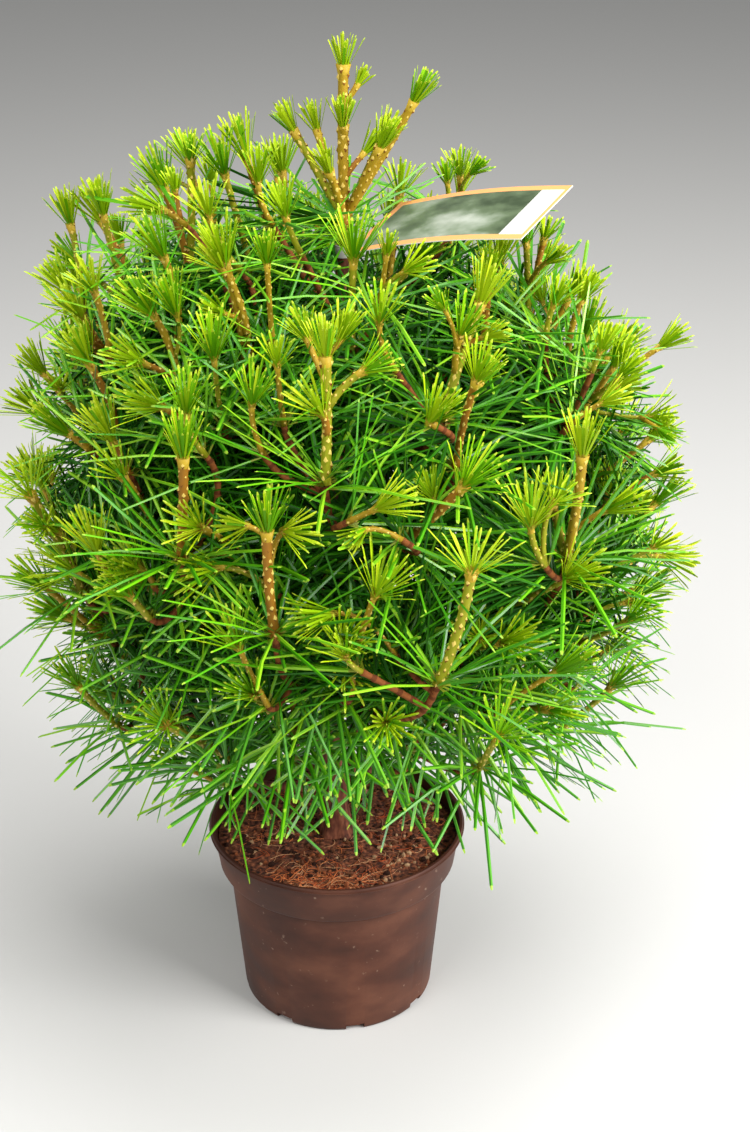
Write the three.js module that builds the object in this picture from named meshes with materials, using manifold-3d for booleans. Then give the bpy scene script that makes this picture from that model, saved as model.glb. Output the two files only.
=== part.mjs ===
// An umbrella pine in a nursery pot, at its real size. Millimetres, +Z up, origin under the pot's centre.
// The trunk stands on the compost and carries boughs in tiers. Each bough ends in one mass of foliage: a stem
// that forks into twigs. A twig ends in a whorl of long needles, and from the whorl a new shoot goes on to a
// brush of young needles.
import * as THREE from "three";
import { mergeVertices } from "three/addons/utils/BufferGeometryUtils.js";
import Module from "manifold-3d";

const wasm = await Module();
wasm.setup();

// The pot is a thin moulding with a flared collar, drain slots round its foot and a flat underside.
const POT = {
  height: 164,
  rimRadius: 110,
  lipHeight: 4,
  collarTop: 107,
  collarFoot: 100.5,
  collarHeight: 37,
  wallTop: 93.5,
  footRadius: 82,
  footRound: 2,
  wall: 1.8,
  floor: 3,
  sides: 32,
};
const SLOT = { count: 8, width: 16, height: 6, depth: 12, turn: 11.25 };
const COMPOST = { belowRim: 13, gap: 0.4 };
const FIT_GAP = 0.3;
const GROUND = POT.height - COMPOST.belowRim;

// Heights and places on the plant are counted from the trunk's foot, on the compost.
const TRUNK = {
  height: 539,
  footRadius: 11.5,
  tipRadius: 4.6,
  taper: 0.85,
  flare: 5,
  flareHeight: 10,
  roots: 5,
  rootSwell: 0.4,
  lean: [10, -4],
  bow: [-9, 5],
  sides: 10,
  rings: 14,
  ringCrowding: 1.7,
};

// Tiers of boughs, lowest first: height on the trunk, how many, heading of the first, rise, length, radius.
const TIERS = [
  { foot: 44, count: 3, heading: 176, rise: 8, length: 92, radius: 4.4 },
  { foot: 84, count: 5, heading: -66, rise: 22, length: 128, radius: 5.2 },
  { foot: 146, count: 5, heading: -96, rise: 34, length: 142, radius: 5.2 },
  { foot: 216, count: 6, heading: -60, rise: 45, length: 142, radius: 4.7 },
  { foot: 304, count: 5, heading: -76, rise: 56, length: 122, radius: 4.2 },
];
const BOUGH = { tipRadius: 3.4, sides: 5, rings: 3, arch: 14, stagger: 24, swing: 7, seed: 5 };

// The tips of the new shoots reach a rounded barrel about a centre on the trunk. Its left shoulder is the
// higher one, it is wider to the right, and at the front its lower edge is lifted clear of the pot.
const OUTLINE = {
  centre: 292,
  radius: 282,
  above: 325,
  below: 225,
  slant: 32,
  sway: 14,
  lift: 55,
  upperPower: 2.6,
  lowerPower: 2,
};
const HEADS = {
  count: 80,
  lowest: -50,
  highest: 72,
  crowding: 0.78,
  lift: 38,
  wander: 12,
  unevenness: 0.07,
  apart: 60,
  seed: 254,
};
const GOLDEN_ANGLE = 137.508;

// Heads that stand out at the front: heading and rise of the tip, heading and rise of the shoot, its length.
const FRONT = [
  { heading: -89, rise: 50, toward: 73, steep: 88, shoot: 92 },
  { heading: -48, rise: 56, toward: 30, steep: 70, shoot: 88 },
  { heading: -67, rise: 22, toward: -19, steep: 76, shoot: 95 },
  { heading: -111, rise: 37, toward: -69, steep: 78, shoot: 87 },
  { heading: -98, rise: 29, toward: -103, steep: 81, shoot: 88 },
  { heading: -64, rise: 31, toward: -39, steep: 48, shoot: 81 },
  { heading: -148, rise: 23, toward: -152, steep: 68, shoot: 96 },
  { heading: -46, rise: 33, toward: -70, steep: 78, shoot: 91 },
];

const STEM = {
  straightness: 0.5,
  sharpest: 1.5,
  radius: 3.4,
  sides: 4,
  rings: 3,
  bend: 0.4,
  root: 10,
  firstFork: 0.16,
  forkSpacing: 0.14,
  lastFork: 0.86,
};
const TWIG = { radius: 2.6, sides: 3, rings: 1, bend: 0.45 };
const SHOOT = { least: 52, most: 98, radius: 3.2 };
const BRUSH = {
  least: 28,
  most: 38,
  opening: 23,
  unevenness: 4,
  teeth: 5,
  notch: 0.66,
  hollow: 0.36,
  root: 12,
};
const NEEDLE = {
  count: 11,
  fewest: 4,
  least: 84,
  most: 108,
  shortest: 0.9,
  steepest: 46,
  flattest: 88,
  tiers: 5,
  skip: 3,
  droop: 12,
  notch: 12,
  thick: 5,
  aside: 5,
};

// The leader is a stout shoot on the trunk's tip with a ring of side shoots.
const LEADER = {
  stem: 6,
  shoot: 116,
  brush: 25,
  radius: 4.2,
  sides: 5,
  swing: 20,
  tilt: [27, 35],
  sideShoot: [53, 81],
  sideBrush: 27,
  sideRadius: 3.3,
  seed: 77,
};

// Clear space that needles keep from limbs, from other masses, from the label and from the pot's rim, and the
// room that twigs, whorls and brushes keep between the lines of one mass and the next.
const CLEAR = {
  limb: 4,
  foliage: 5,
  card: 5,
  rim: 5,
  twig: 8,
  whorl: 17,
  brush: 44,
  joint: 14,
  steps: 12,
  shortest: 0.5,
};

// The plant label is a bent card on a strap that loops round the trunk under the leader's whorl.
const LABEL = {
  edge: [31.6, -4.1, 538.7],
  length: 146,
  width: 95,
  thickness: 0.8,
  heading: -29,
  climb: 13,
  tilt: 9,
  bow: 4,
  pieces: 6,
  loopHeight: 517,
  loopTall: 9,
  loopThick: 1.2,
  loopSlack: 0.45,
  loopSides: 12,
  strapWide: 7.6,
  strapThick: 1.1,
};

const FINISHES = {
  pot: { color: 0x553c33, roughness: 0.55 },
  compost: { color: 0x2f1c14, roughness: 1 },
  bark: { color: 0x6b3420, roughness: 0.85 },
  foliage: { color: 0x4f8f1e, roughness: 0.5 },
  label: { color: 0xe8e2da, roughness: 0.35 },
};

const { degToRad, radToDeg, lerp } = THREE.MathUtils;
const UP = new THREE.Vector3(0, 0, 1);
const RIGHT = new THREE.Vector3(1, 0, 0);

// A repeatable stream of numbers from 0 to 1.
function seeded(seed) {
  let state = seed >>> 0;
  return () => {
    state = (state + 0x6d2b79f5) >>> 0;
    let mixed = Math.imul(state ^ (state >>> 15), state | 1);
    mixed ^= mixed + Math.imul(mixed ^ (mixed >>> 7), mixed | 61);
    return ((mixed ^ (mixed >>> 14)) >>> 0) / 4294967296;
  };
}

// A unit vector with that heading (0 along +X, 90 along +Y) and rise above the level, in degrees.
function towards(heading, rise) {
  const a = degToRad(heading);
  const e = degToRad(rise);
  return new THREE.Vector3(Math.cos(e) * Math.cos(a), Math.cos(e) * Math.sin(a), Math.sin(e));
}

// The point that lies so far from another along a direction.
const along = (point, way, distance) => point.clone().addScaledVector(way, distance);

// The two directions square to one, so that the three form a right-handed frame.
function squareTo(way) {
  const side = new THREE.Vector3().crossVectors(way, Math.abs(way.z) < 0.999 ? UP : RIGHT).normalize();
  return [side, new THREE.Vector3().crossVectors(way, side)];
}

// A unit vector tilted away from a direction and turned round it, in degrees.
function tilted(way, tilt, turn) {
  const outward = squareTo(way)[0].applyAxisAngle(way, degToRad(turn));
  return outward.multiplyScalar(Math.sin(degToRad(tilt))).addScaledVector(way, Math.cos(degToRad(tilt)));
}

// A closed geometry as a solid: equal vertices are merged and faces without area dropped.
function solidOf(geometry) {
  const bare = geometry.clone();
  bare.deleteAttribute("normal");
  bare.deleteAttribute("uv");
  const merged = mergeVertices(bare, 1e-4);
  const corners = merged.index.array;
  const kept = [];
  for (let i = 0; i < corners.length; i += 3) {
    const [a, b, c] = corners.slice(i, i + 3);
    if (a !== b && b !== c && c !== a) {
      kept.push(a, b, c);
    }
  }
  const vertProperties = Float32Array.from(merged.getAttribute("position").array);
  const triVerts = Uint32Array.from(kept);
  return new wasm.Manifold(new wasm.Mesh({ numProp: 3, vertProperties, triVerts }));
}

// Fuses solids into one body: hollows that this seals are filled and loose scraps dropped.
function fused(solids) {
  const bodies = wasm.Manifold.union(solids).decompose();
  return bodies.reduce((largest, body) => (body.volume() > largest.volume() ? body : largest));
}

function meshOf(name, solid, finish) {
  const { vertProperties, triVerts } = solid.getMesh();
  const geometry = new THREE.BufferGeometry();
  geometry.setAttribute("position", new THREE.BufferAttribute(vertProperties, 3));
  geometry.setIndex(new THREE.BufferAttribute(triVerts, 1));
  const mesh = new THREE.Mesh(geometry, new THREE.MeshStandardMaterial({ ...finish, flatShading: true }));
  mesh.name = name;
  return mesh;
}

// Moves each vertex of a geometry to where place(vertex) says.
function reshaped(geometry, place) {
  const position = geometry.getAttribute("position");
  const vertex = new THREE.Vector3();
  for (let i = 0; i < position.count; i += 1) {
    vertex.fromBufferAttribute(position, i);
    position.setXYZ(i, ...place(vertex).toArray());
  }
  return geometry;
}

// Number of a vertex on a ring of so many, counted round the geometry's Y axis.
const ringIndex = (v, count) => (Math.round((Math.atan2(v.x, v.z) * count) / (2 * Math.PI)) + count) % count;

// A run is a list of points, each with the direction there.
function runAlong(curve, pieces) {
  const shares = Array.from({ length: pieces + 1 }, (_, i) => i / pieces);
  return shares.map((share) => ({ point: curve.getPoint(share), way: curve.getTangent(share) }));
}

// A closed rod along a run, with a radius for each of its points.
function rod(run, radii, sides) {
  const last = run.length - 1;
  const frames = [];
  run.forEach(({ way }, i) => {
    const before = i ? frames[i - 1].side : squareTo(way)[0];
    const side = along(before, way, -before.dot(way)).normalize();
    frames.push({ side, other: new THREE.Vector3().crossVectors(way, side) });
  });
  const place = (v) => {
    const i = Math.round((v.y + 0.5) * last);
    return along(along(run[i].point, frames[i].other, v.x * radii[i]), frames[i].side, v.z * radii[i]);
  };
  return solidOf(reshaped(new THREE.CylinderGeometry(1, 1, 1, sides, last), place));
}

const stepsOf = (from, to, last) => Array.from({ length: last + 1 }, (_, i) => lerp(from, to, i / last));

// The pot is turned from one closed profile, and the slots are cut through its lower corner.
const wallRadius = (height) => lerp(POT.footRadius, POT.wallTop, height / (POT.height - POT.collarHeight));

function turned(profile) {
  const points = profile.map(([r, z]) => new THREE.Vector2(r, z));
  return solidOf(new THREE.LatheGeometry(points, POT.sides).rotateX(Math.PI / 2));
}

function makePot() {
  const ledge = POT.height - POT.collarHeight;
  const lipFoot = POT.height - POT.lipHeight;
  const body = turned([
    [0, 0],
    [POT.footRadius - POT.footRound, 0],
    [POT.footRadius, POT.footRound],
    [POT.wallTop, ledge],
    [POT.collarFoot, ledge],
    [POT.collarTop, lipFoot],
    [POT.rimRadius, lipFoot],
    [POT.rimRadius, POT.height],
    [POT.collarTop - POT.wall, POT.height],
    [POT.collarTop - POT.wall, lipFoot],
    [POT.collarFoot - POT.wall, ledge + POT.wall],
    [POT.wallTop - POT.wall, ledge + POT.wall],
    [wallRadius(POT.floor) - POT.wall, POT.floor],
    [0, POT.floor],
  ]);
  const slots = Array.from({ length: SLOT.count }, (_, i) => {
    const box = new THREE.BoxGeometry(SLOT.depth * 2, SLOT.width, SLOT.height * 2);
    box.translate(POT.footRadius, 0, 0);
    box.rotateZ(degToRad(SLOT.turn + (360 * i) / SLOT.count));
    return solidOf(box);
  });
  return body.subtract(wasm.Manifold.union(slots));
}

// The compost fills the pot to below its rim, clear of wall and floor.
function makeCompost() {
  const ledge = POT.height - POT.collarHeight;
  const inset = POT.wall + COMPOST.gap;
  const upTheCollar = (GROUND - ledge - POT.wall) / (POT.collarHeight - POT.lipHeight - POT.wall);
  return turned([
    [0, POT.floor + FIT_GAP],
    [wallRadius(POT.floor) - inset, POT.floor + FIT_GAP],
    [POT.wallTop - inset, ledge + inset],
    [POT.collarFoot - inset, ledge + inset],
    [lerp(POT.collarFoot, POT.collarTop, upTheCollar) - inset, GROUND],
    [0, GROUND],
  ]);
}

function trunkPoint(height) {
  const share = height / TRUNK.height;
  const bowed = Math.sin(Math.PI * share);
  const x = TRUNK.lean[0] * share + TRUNK.bow[0] * bowed;
  const y = TRUNK.lean[1] * share + TRUNK.bow[1] * bowed;
  return new THREE.Vector3(x, y, height);
}

const trunkRadius = (height) =>
  lerp(TRUNK.footRadius, TRUNK.tipRadius, (height / TRUNK.height) ** TRUNK.taper);

// The trunk's rings are level, and closer together at the foot, where roots swell out to a flat cut.
function makeTrunk(grownBy) {
  const place = (v) => {
    const height = TRUNK.height * (v.y + 0.5) ** TRUNK.ringCrowding;
    const root = 1 + TRUNK.rootSwell * Math.cos(TRUNK.roots * Math.atan2(v.z, v.x));
    const swell = TRUNK.flare * root * Math.exp(-height / TRUNK.flareHeight);
    const radius = trunkRadius(height) + swell + grownBy;
    return trunkPoint(height).add(new THREE.Vector3(v.x * radius, -v.z * radius, 0));
  };
  return solidOf(reshaped(new THREE.CylinderGeometry(1, 1, 1, TRUNK.sides, TRUNK.rings), place));
}

// Boughs of a tier leave the trunk one a little above the other, and arch up to their tips.
function layBoughs() {
  const draw = seeded(BOUGH.seed);
  const lay = (tier, t, i) => {
    const foot = tier.foot + (BOUGH.stagger * ((2 * i) % tier.count)) / tier.count;
    const heading = tier.heading + (360 * i) / tier.count + BOUGH.swing * (2 * draw() - 1);
    const way = towards(heading, tier.rise + BOUGH.arch / 2);
    const start = trunkPoint(foot);
    const middle = along(start, towards(heading, tier.rise - BOUGH.arch), tier.length / 2);
    const end = along(middle, way, tier.length / 2);
    const line = new THREE.QuadraticBezierCurve3(start, middle, end);
    return { name: `bough_${t + 1}${"abcdef"[i]}`, line, end, way, radius: tier.radius };
  };
  return TIERS.flatMap((tier, t) => Array.from({ length: tier.count }, (_, i) => lay(tier, t, i)));
}

function makeBough(bough, trunkRoom) {
  const radii = stepsOf(bough.radius, BOUGH.tipRadius, BOUGH.rings);
  return fused([rod(runAlong(bough.line, BOUGH.rings), radii, BOUGH.sides).subtract(trunkRoom)]);
}

// The label's card lies in a frame of its own: along its length, across it and square to it.
const cardAlong = towards(LABEL.heading, LABEL.climb);
const cardLevel = new THREE.Vector3().crossVectors(UP, cardAlong).normalize();
const cardAcross = cardLevel.clone().applyAxisAngle(cardAlong, degToRad(LABEL.tilt));
const cardNormal = new THREE.Vector3().crossVectors(cardAlong, cardAcross);
const cardEdge = new THREE.Vector3(...LABEL.edge);
const cardBow = (u) => LABEL.bow * Math.sin((Math.PI * u) / LABEL.length);
const loopCentre = trunkPoint(LABEL.loopHeight + LABEL.loopTall / 2);

function cardPoint(u, v, w) {
  return along(along(along(cardEdge, cardAlong, u), cardAcross, v), cardNormal, w + cardBow(u));
}

// The strap leaves the loop upright, inside its wall, and turns flat before it enters the card.
function makeLabel() {
  const card = new THREE.BoxGeometry(LABEL.length, LABEL.width, LABEL.thickness, LABEL.pieces);
  const strap = new THREE.BoxGeometry(1, LABEL.strapWide, LABEL.strapThick, LABEL.pieces);
  const lean = trunkPoint(LABEL.loopHeight + LABEL.loopTall).sub(trunkPoint(LABEL.loopHeight)).normalize();
  const upright = new THREE.Quaternion().setFromUnitVectors(new THREE.Vector3(0, 1, 0), lean);
  const inner = trunkRadius(LABEL.loopHeight) + LABEL.loopSlack;
  const outer = inner + LABEL.loopThick;
  const half = LABEL.loopTall / 2;
  const ring = [[outer, -half], [outer, half], [inner, half], [inner, -half], [outer, -half]];
  const loop = new THREE.LatheGeometry(ring.map(([r, y]) => new THREE.Vector2(r, y)), LABEL.loopSides);
  const fromLoop = (v) => new THREE.Vector3(outer - LABEL.loopThick / 2, -v.z, v.y).add(loopCentre);
  const strapPoint = (v) => fromLoop(v).lerp(cardPoint(LABEL.loopTall / 2, v.y, v.z), v.x + 0.5);
  return fused([
    solidOf(reshaped(card, (v) => cardPoint(v.x + LABEL.length / 2, v.y, v.z))),
    solidOf(reshaped(strap, strapPoint)),
    solidOf(loop.applyQuaternion(upright).translate(...loopCentre.toArray())),
  ]);
}

// How far the outline reaches from its centre, by heading and rise.
function outlineReach(heading, rise) {
  const e = degToRad(rise);
  const rightward = Math.cos(degToRad(heading));
  const forward = Math.max(0, -Math.sin(degToRad(heading)));
  const tall = rise > 0 ? OUTLINE.above - OUTLINE.slant * rightward : OUTLINE.below - OUTLINE.lift * forward;
  const wide = OUTLINE.radius + OUTLINE.sway * rightward;
  const n = rise > 0 ? OUTLINE.upperPower : OUTLINE.lowerPower;
  return ((Math.cos(e) / wide) ** n + Math.abs(Math.sin(e) / tall) ** n) ** (-1 / n);
}

// One head is a whorl with the new shoot above it. The front heads come first. Other tips are dealt out
// evenly over the outline, and those that would crowd a front head are left out.
function layHeads() {
  const centre = trunkPoint(OUTLINE.centre);
  const tipAt = (heading, rise, share) =>
    along(centre, towards(heading, rise), outlineReach(heading, rise) * share);
  const headAt = (tip, way, shoot, draw) => {
    const brush = lerp(BRUSH.least, BRUSH.most, draw());
    const needle = lerp(NEEDLE.least, NEEDLE.most, draw());
    const whorl = along(tip, way, -shoot - brush);
    return { tip, whorl, way, shoot, brush, needle, draw, radius: SHOOT.radius };
  };
  const front = FRONT.map(({ heading, rise, toward, steep, shoot }, i) =>
    headAt(tipAt(heading, rise, 1), towards(toward, steep), shoot, seeded(HEADS.seed - 1 - i)),
  );
  const low = Math.sin(degToRad(HEADS.lowest));
  const high = Math.sin(degToRad(HEADS.highest));
  const dealt = Array.from({ length: HEADS.count }, (_, i) => {
    const draw = seeded(HEADS.seed + 1000 * i);
    const either = (size) => size * (2 * draw() - 1);
    const rise = radToDeg(Math.asin(lerp(low, high, ((i + 0.5) / HEADS.count) ** HEADS.crowding)));
    const heading = i * GOLDEN_ANGLE + either(HEADS.wander);
    const tip = tipAt(heading, rise, 1 - HEADS.unevenness * draw());
    const way = towards(heading + either(HEADS.wander), rise / 2 + HEADS.lift + either(HEADS.wander));
    return headAt(tip, way, lerp(SHOOT.least, SHOOT.most, draw()), draw);
  });
  const isFree = ({ tip }) => front.every((other) => other.tip.distanceTo(tip) > HEADS.apart);
  return [...front, ...dealt.filter(isFree)];
}

// A mass's stem runs on from the bough's tip to its first whorl, and twigs fork from it to the other whorls.
function stemRun(start, way, head) {
  const bend = STEM.bend * start.distanceTo(head.whorl);
  const middle = [along(start, way, bend), along(head.whorl, head.way, -bend)];
  return runAlong(new THREE.CubicBezierCurve3(start, ...middle, head.whorl), STEM.rings);
}

function twigRun(stem, share, head) {
  const i = Math.floor(share * STEM.rings);
  const fork = stem[i].point.clone().lerp(stem[i + 1].point, share * STEM.rings - i);
  const middle = along(head.whorl, head.way, -TWIG.bend * fork.distanceTo(head.whorl));
  return runAlong(new THREE.QuadraticBezierCurve3(fork, middle, head.whorl), TWIG.rings);
}

// The centre line of a head to the end of its brush, as straight pieces.
function headLines(head) {
  const end = along(head.whorl, head.way, head.shoot + head.brush);
  const points = [...head.run.map(({ point }) => point), end];
  return points.slice(1).map((point, i) => new THREE.Line3(points[i], point));
}

const foot = new THREE.Vector3();
function clearance(lines, point) {
  let least = Infinity;
  for (const line of lines) {
    line.closestPointToPoint(point, true, foot);
    least = Math.min(least, foot.distanceTo(point) - (line.radius ?? 0));
  }
  return least;
}

// The trunk and boughs as straight pieces with a radius.
function limbLines(boughs) {
  const lines = [];
  const addRun = (points, radiusAt) => {
    for (let i = 1; i < points.length; i += 1) {
      const line = new THREE.Line3(points[i - 1], points[i]);
      line.radius = radiusAt((i - 1) / (points.length - 1));
      lines.push(line);
    }
  };
  const heights = Array.from({ length: TRUNK.rings + 1 }, (_, i) => (TRUNK.height * i) / TRUNK.rings);
  addRun(heights.map(trunkPoint), (share) => trunkRadius(share * TRUNK.height));
  for (const bough of boughs) {
    addRun(bough.line.getPoints(BOUGH.rings), (share) => lerp(bough.radius, BOUGH.tipRadius, share));
  }
  return lines;
}

// Is a point so far clear of the label, and above the pot's rim?
function clearOfFittings(point, room) {
  const from = point.clone().sub(cardEdge);
  const u = from.dot(cardAlong);
  const w = from.dot(cardNormal) - cardBow(u);
  const beside = u < -room || u > LABEL.length + room;
  const beyond = Math.abs(from.dot(cardAcross)) > LABEL.width / 2 + room;
  const offCard = beside || beyond || Math.abs(w) > room;
  const offStrap = clearance([new THREE.Line3(loopCentre, cardEdge)], point) > LABEL.loopTall / 2 + room;
  return point.z > COMPOST.belowRim + CLEAR.rim && offCard && offStrap;
}

// The leader's heads stand on the trunk's tip: the leader with its whorl, and side shoots tilted away.
function layLeader() {
  const draw = seeded(LEADER.seed);
  const start = along(trunkPoint(TRUNK.height), UP, FIT_GAP);
  const whorl = along(start, UP, LEADER.stem);
  const shared = { whorl, draw, needle: NEEDLE.most };
  const run = [start, whorl].map((point) => ({ point, way: UP }));
  const upright = { ...shared, run, way: UP, shoot: LEADER.shoot };
  const heads = [{ ...upright, brush: LEADER.brush, radius: LEADER.radius }];
  for (let i = 0; i < LEADER.sides; i += 1) {
    const way = tilted(UP, lerp(...LEADER.tilt, draw()), (360 * i) / LEADER.sides + LEADER.swing * draw());
    const side = { ...shared, run: [{ point: whorl, way }], way, shoot: lerp(...LEADER.sideShoot, draw()) };
    heads.push({ ...side, brush: LEADER.sideBrush, radius: LEADER.sideRadius });
  }
  return { name: "foliage_leader", heads, lines: heads.flatMap(headLines) };
}

// Points along a head, each with the room that it keeps there from other masses. Half of it does for limbs.
function roomNeeded(head) {
  const place = (line, share) => ({ point: line.at(share, new THREE.Vector3()), room: CLEAR.twig });
  return [
    ...headLines(head).flatMap((line) => [0.25, 0.5, 0.75, 1].map((share) => place(line, share))),
    { point: head.whorl, room: CLEAR.whorl },
    { point: along(head.tip, head.way, -head.brush / 2), room: CLEAR.brush / 2 },
    { point: head.tip, room: CLEAR.brush },
  ];
}

// A mass is the stem that goes on from one bough, and the heads whose whorls lie nearest ahead of it. A head
// that would come too near a limb, another mass or the label is left out.
function layMasses(boughs, limbs) {
  const masses = boughs.map((bough) => {
    const name = bough.name.replace("bough", "foliage");
    const start = along(bough.end, bough.way, FIT_GAP);
    const lines = [new THREE.Line3(start, along(start, bough.way, STEM.root))];
    return { name, bough, start, way: bough.way, wanted: [], heads: [], lines };
  });
  const leader = layLeader();
  const turn = (mass, head) => mass.way.angleTo(head.whorl.clone().sub(mass.start));
  const cost = (mass, head) =>
    mass.start.distanceTo(head.whorl) * (1 + STEM.straightness * turn(mass, head) ** 2);
  for (const head of layHeads()) {
    const costs = masses.map((mass) => cost(mass, head));
    masses[costs.indexOf(Math.min(...costs))].wanted.push(head);
  }
  for (const mass of masses) {
    const others = [...masses, leader].filter((other) => other !== mass).flatMap((other) => other.lines);
    const isClear = ({ point, room }) => {
      const inJoint = point.distanceTo(mass.start) < CLEAR.joint;
      const open = inJoint || (clearance(limbs, point) > room / 2 && clearance(others, point) > room);
      return open && clearOfFittings(point, room / 2);
    };
    for (const head of mass.wanted.sort((a, b) => turn(mass, a) - turn(mass, b))) {
      const share = Math.min(STEM.firstFork + STEM.forkSpacing * (mass.heads.length - 1), STEM.lastFork);
      const stem = mass.heads[0]?.run;
      head.run = stem ? twigRun(stem, share, head) : stemRun(mass.start, mass.way, head);
      if (turn(mass, head) < STEM.sharpest && roomNeeded(head).every(isClear)) {
        mass.heads.push(head);
        mass.lines.push(...headLines(head));
      }
    }
  }
  return [...masses.filter((mass) => mass.heads.length), leader];
}

// How much of the straight way from a whorl to a needle's tip stays in the head's own space.
function clearShare(from, to, own, others, limbs) {
  for (let step = 1; step <= CLEAR.steps; step += 1) {
    const point = from.clone().lerp(to, step / CLEAR.steps);
    const crowded = clearance(own, point) + CLEAR.foliage > clearance(others, point);
    if (crowded || clearance(limbs, point) < CLEAR.limb || !clearOfFittings(point, CLEAR.card)) {
      return (step - 1) / CLEAR.steps;
    }
  }
  return 1;
}

// A whorl is a star beside the twig's end: needle tips with notches between, and a low peak above and below.
function makeWhorl(head, others, limbs) {
  const own = [new THREE.Line3(head.whorl, along(head.whorl, head.way, head.shoot + head.brush))];
  const centre = along(head.whorl, squareTo(head.way)[0], NEEDLE.aside);
  const needles = [];
  for (let k = 0; k < NEEDLE.count; k += 1) {
    const turn = (360 * k) / NEEDLE.count;
    const tier = ((k * NEEDLE.skip) % NEEDLE.tiers) + head.draw();
    const tilt = lerp(NEEDLE.steepest, NEEDLE.flattest, tier / NEEDLE.tiers);
    const reach = head.needle * lerp(NEEDLE.shortest, 1, head.draw());
    const tip = along(along(centre, tilted(head.way, tilt, turn), reach), UP, -NEEDLE.droop);
    const share = clearShare(centre, tip, own, others, limbs);
    if (share >= CLEAR.shortest) {
      needles.push({ turn, tip: centre.clone().lerp(tip, share) });
    }
  }
  if (needles.length < NEEDLE.fewest) {
    return null;
  }
  const notchTilt = (NEEDLE.steepest + NEEDLE.flattest) / 2;
  const place = (v) => {
    if (v.y !== 0) {
      return along(centre, head.way, NEEDLE.thick * v.y);
    }
    const index = ringIndex(v, 2 * needles.length);
    const needle = needles[Math.floor(index / 2)];
    const next = needles[(Math.floor(index / 2) + 1) % needles.length];
    const gap = (next.turn - needle.turn + 360) % 360;
    const notch = along(centre, tilted(head.way, notchTilt, needle.turn + gap / 2), NEEDLE.notch);
    return index % 2 ? notch : needle.tip;
  };
  const profile = [new THREE.Vector2(0, -1), new THREE.Vector2(1, 0), new THREE.Vector2(0, 1)];
  return solidOf(reshaped(new THREE.LatheGeometry(profile, 2 * needles.length), place));
}

// A brush is a hollow toothed cone that opens from inside the shoot's tip.
function makeBrush(head, tip) {
  const root = along(tip, head.way, -BRUSH.root);
  const depth = BRUSH.root + head.brush;
  const opening = BRUSH.opening + BRUSH.unevenness * (2 * head.draw() - 1);
  const place = (v) => {
    if (v.y > 0) {
      return root.clone();
    }
    if (Math.hypot(v.x, v.z) < 0.5) {
      return along(root, head.way, depth * BRUSH.hollow);
    }
    const index = ringIndex(v, 2 * BRUSH.teeth);
    const tooth = tilted(head.way, opening, (-180 * index) / BRUSH.teeth);
    return along(root, tooth, depth * (index % 2 ? BRUSH.notch : 1));
  };
  return solidOf(reshaped(new THREE.ConeGeometry(1, 1, 2 * BRUSH.teeth, 1), place));
}

// Twig and new shoot are one rod through the whorl. The leader's side shoots share its whorl.
function makeMass(mass, others, limbs) {
  const solids = mass.heads.flatMap((head, i) => {
    const { run, whorl, way, shoot, radius } = head;
    const end = along(whorl, way, shoot);
    const base = i ? TWIG.radius : STEM.radius;
    const radii = [...run.slice(0, -1).map(() => base), radius, radius];
    const stalk = rod([...run, { point: end, way }], radii, i ? TWIG.sides : STEM.sides);
    const brush = makeBrush(head, end);
    const star = run.length > 1 ? makeWhorl(head, others, limbs) : null;
    return star ? [stalk, brush, star] : [stalk, brush];
  });
  return fused(solids);
}

const limbs = limbLines(layBoughs());
const masses = layMasses(layBoughs(), limbs);
const boughs = masses.flatMap((mass) => mass.bough ?? []);
const trunkRoom = makeTrunk(FIT_GAP);

const pine = new THREE.Group();
pine.name = "potted_umbrella_pine";
pine.add(meshOf("pot", makePot(), FINISHES.pot));
pine.add(meshOf("compost", makeCompost(), FINISHES.compost));

const plant = new THREE.Group();
plant.name = "plant";
plant.position.z = GROUND + FIT_GAP;
pine.add(plant);
plant.add(meshOf("trunk", makeTrunk(0), FINISHES.bark));
for (const bough of boughs) {
  plant.add(meshOf(bough.name, makeBough(bough, trunkRoom), FINISHES.bark));
}
for (const mass of masses) {
  const others = masses.filter((other) => other !== mass).flatMap((other) => other.lines);
  plant.add(meshOf(mass.name, makeMass(mass, others, limbs), FINISHES.foliage));
}
plant.add(meshOf("label", makeLabel(), FINISHES.label));

export default pine;
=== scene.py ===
"""An umbrella pine in a brown nursery pot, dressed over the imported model.

The plant grows here by the same seeded rule as its solids, and is then carried on to finer twigs, whorls of
long grooved needles, scaly new shoots and brushes of young needles. Lengths are in millimetres from the
trunk's foot on the compost, and become metres where a mesh is made.
"""

import math

import bmesh
import bpy
import numpy as np
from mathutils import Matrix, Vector, noise


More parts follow.
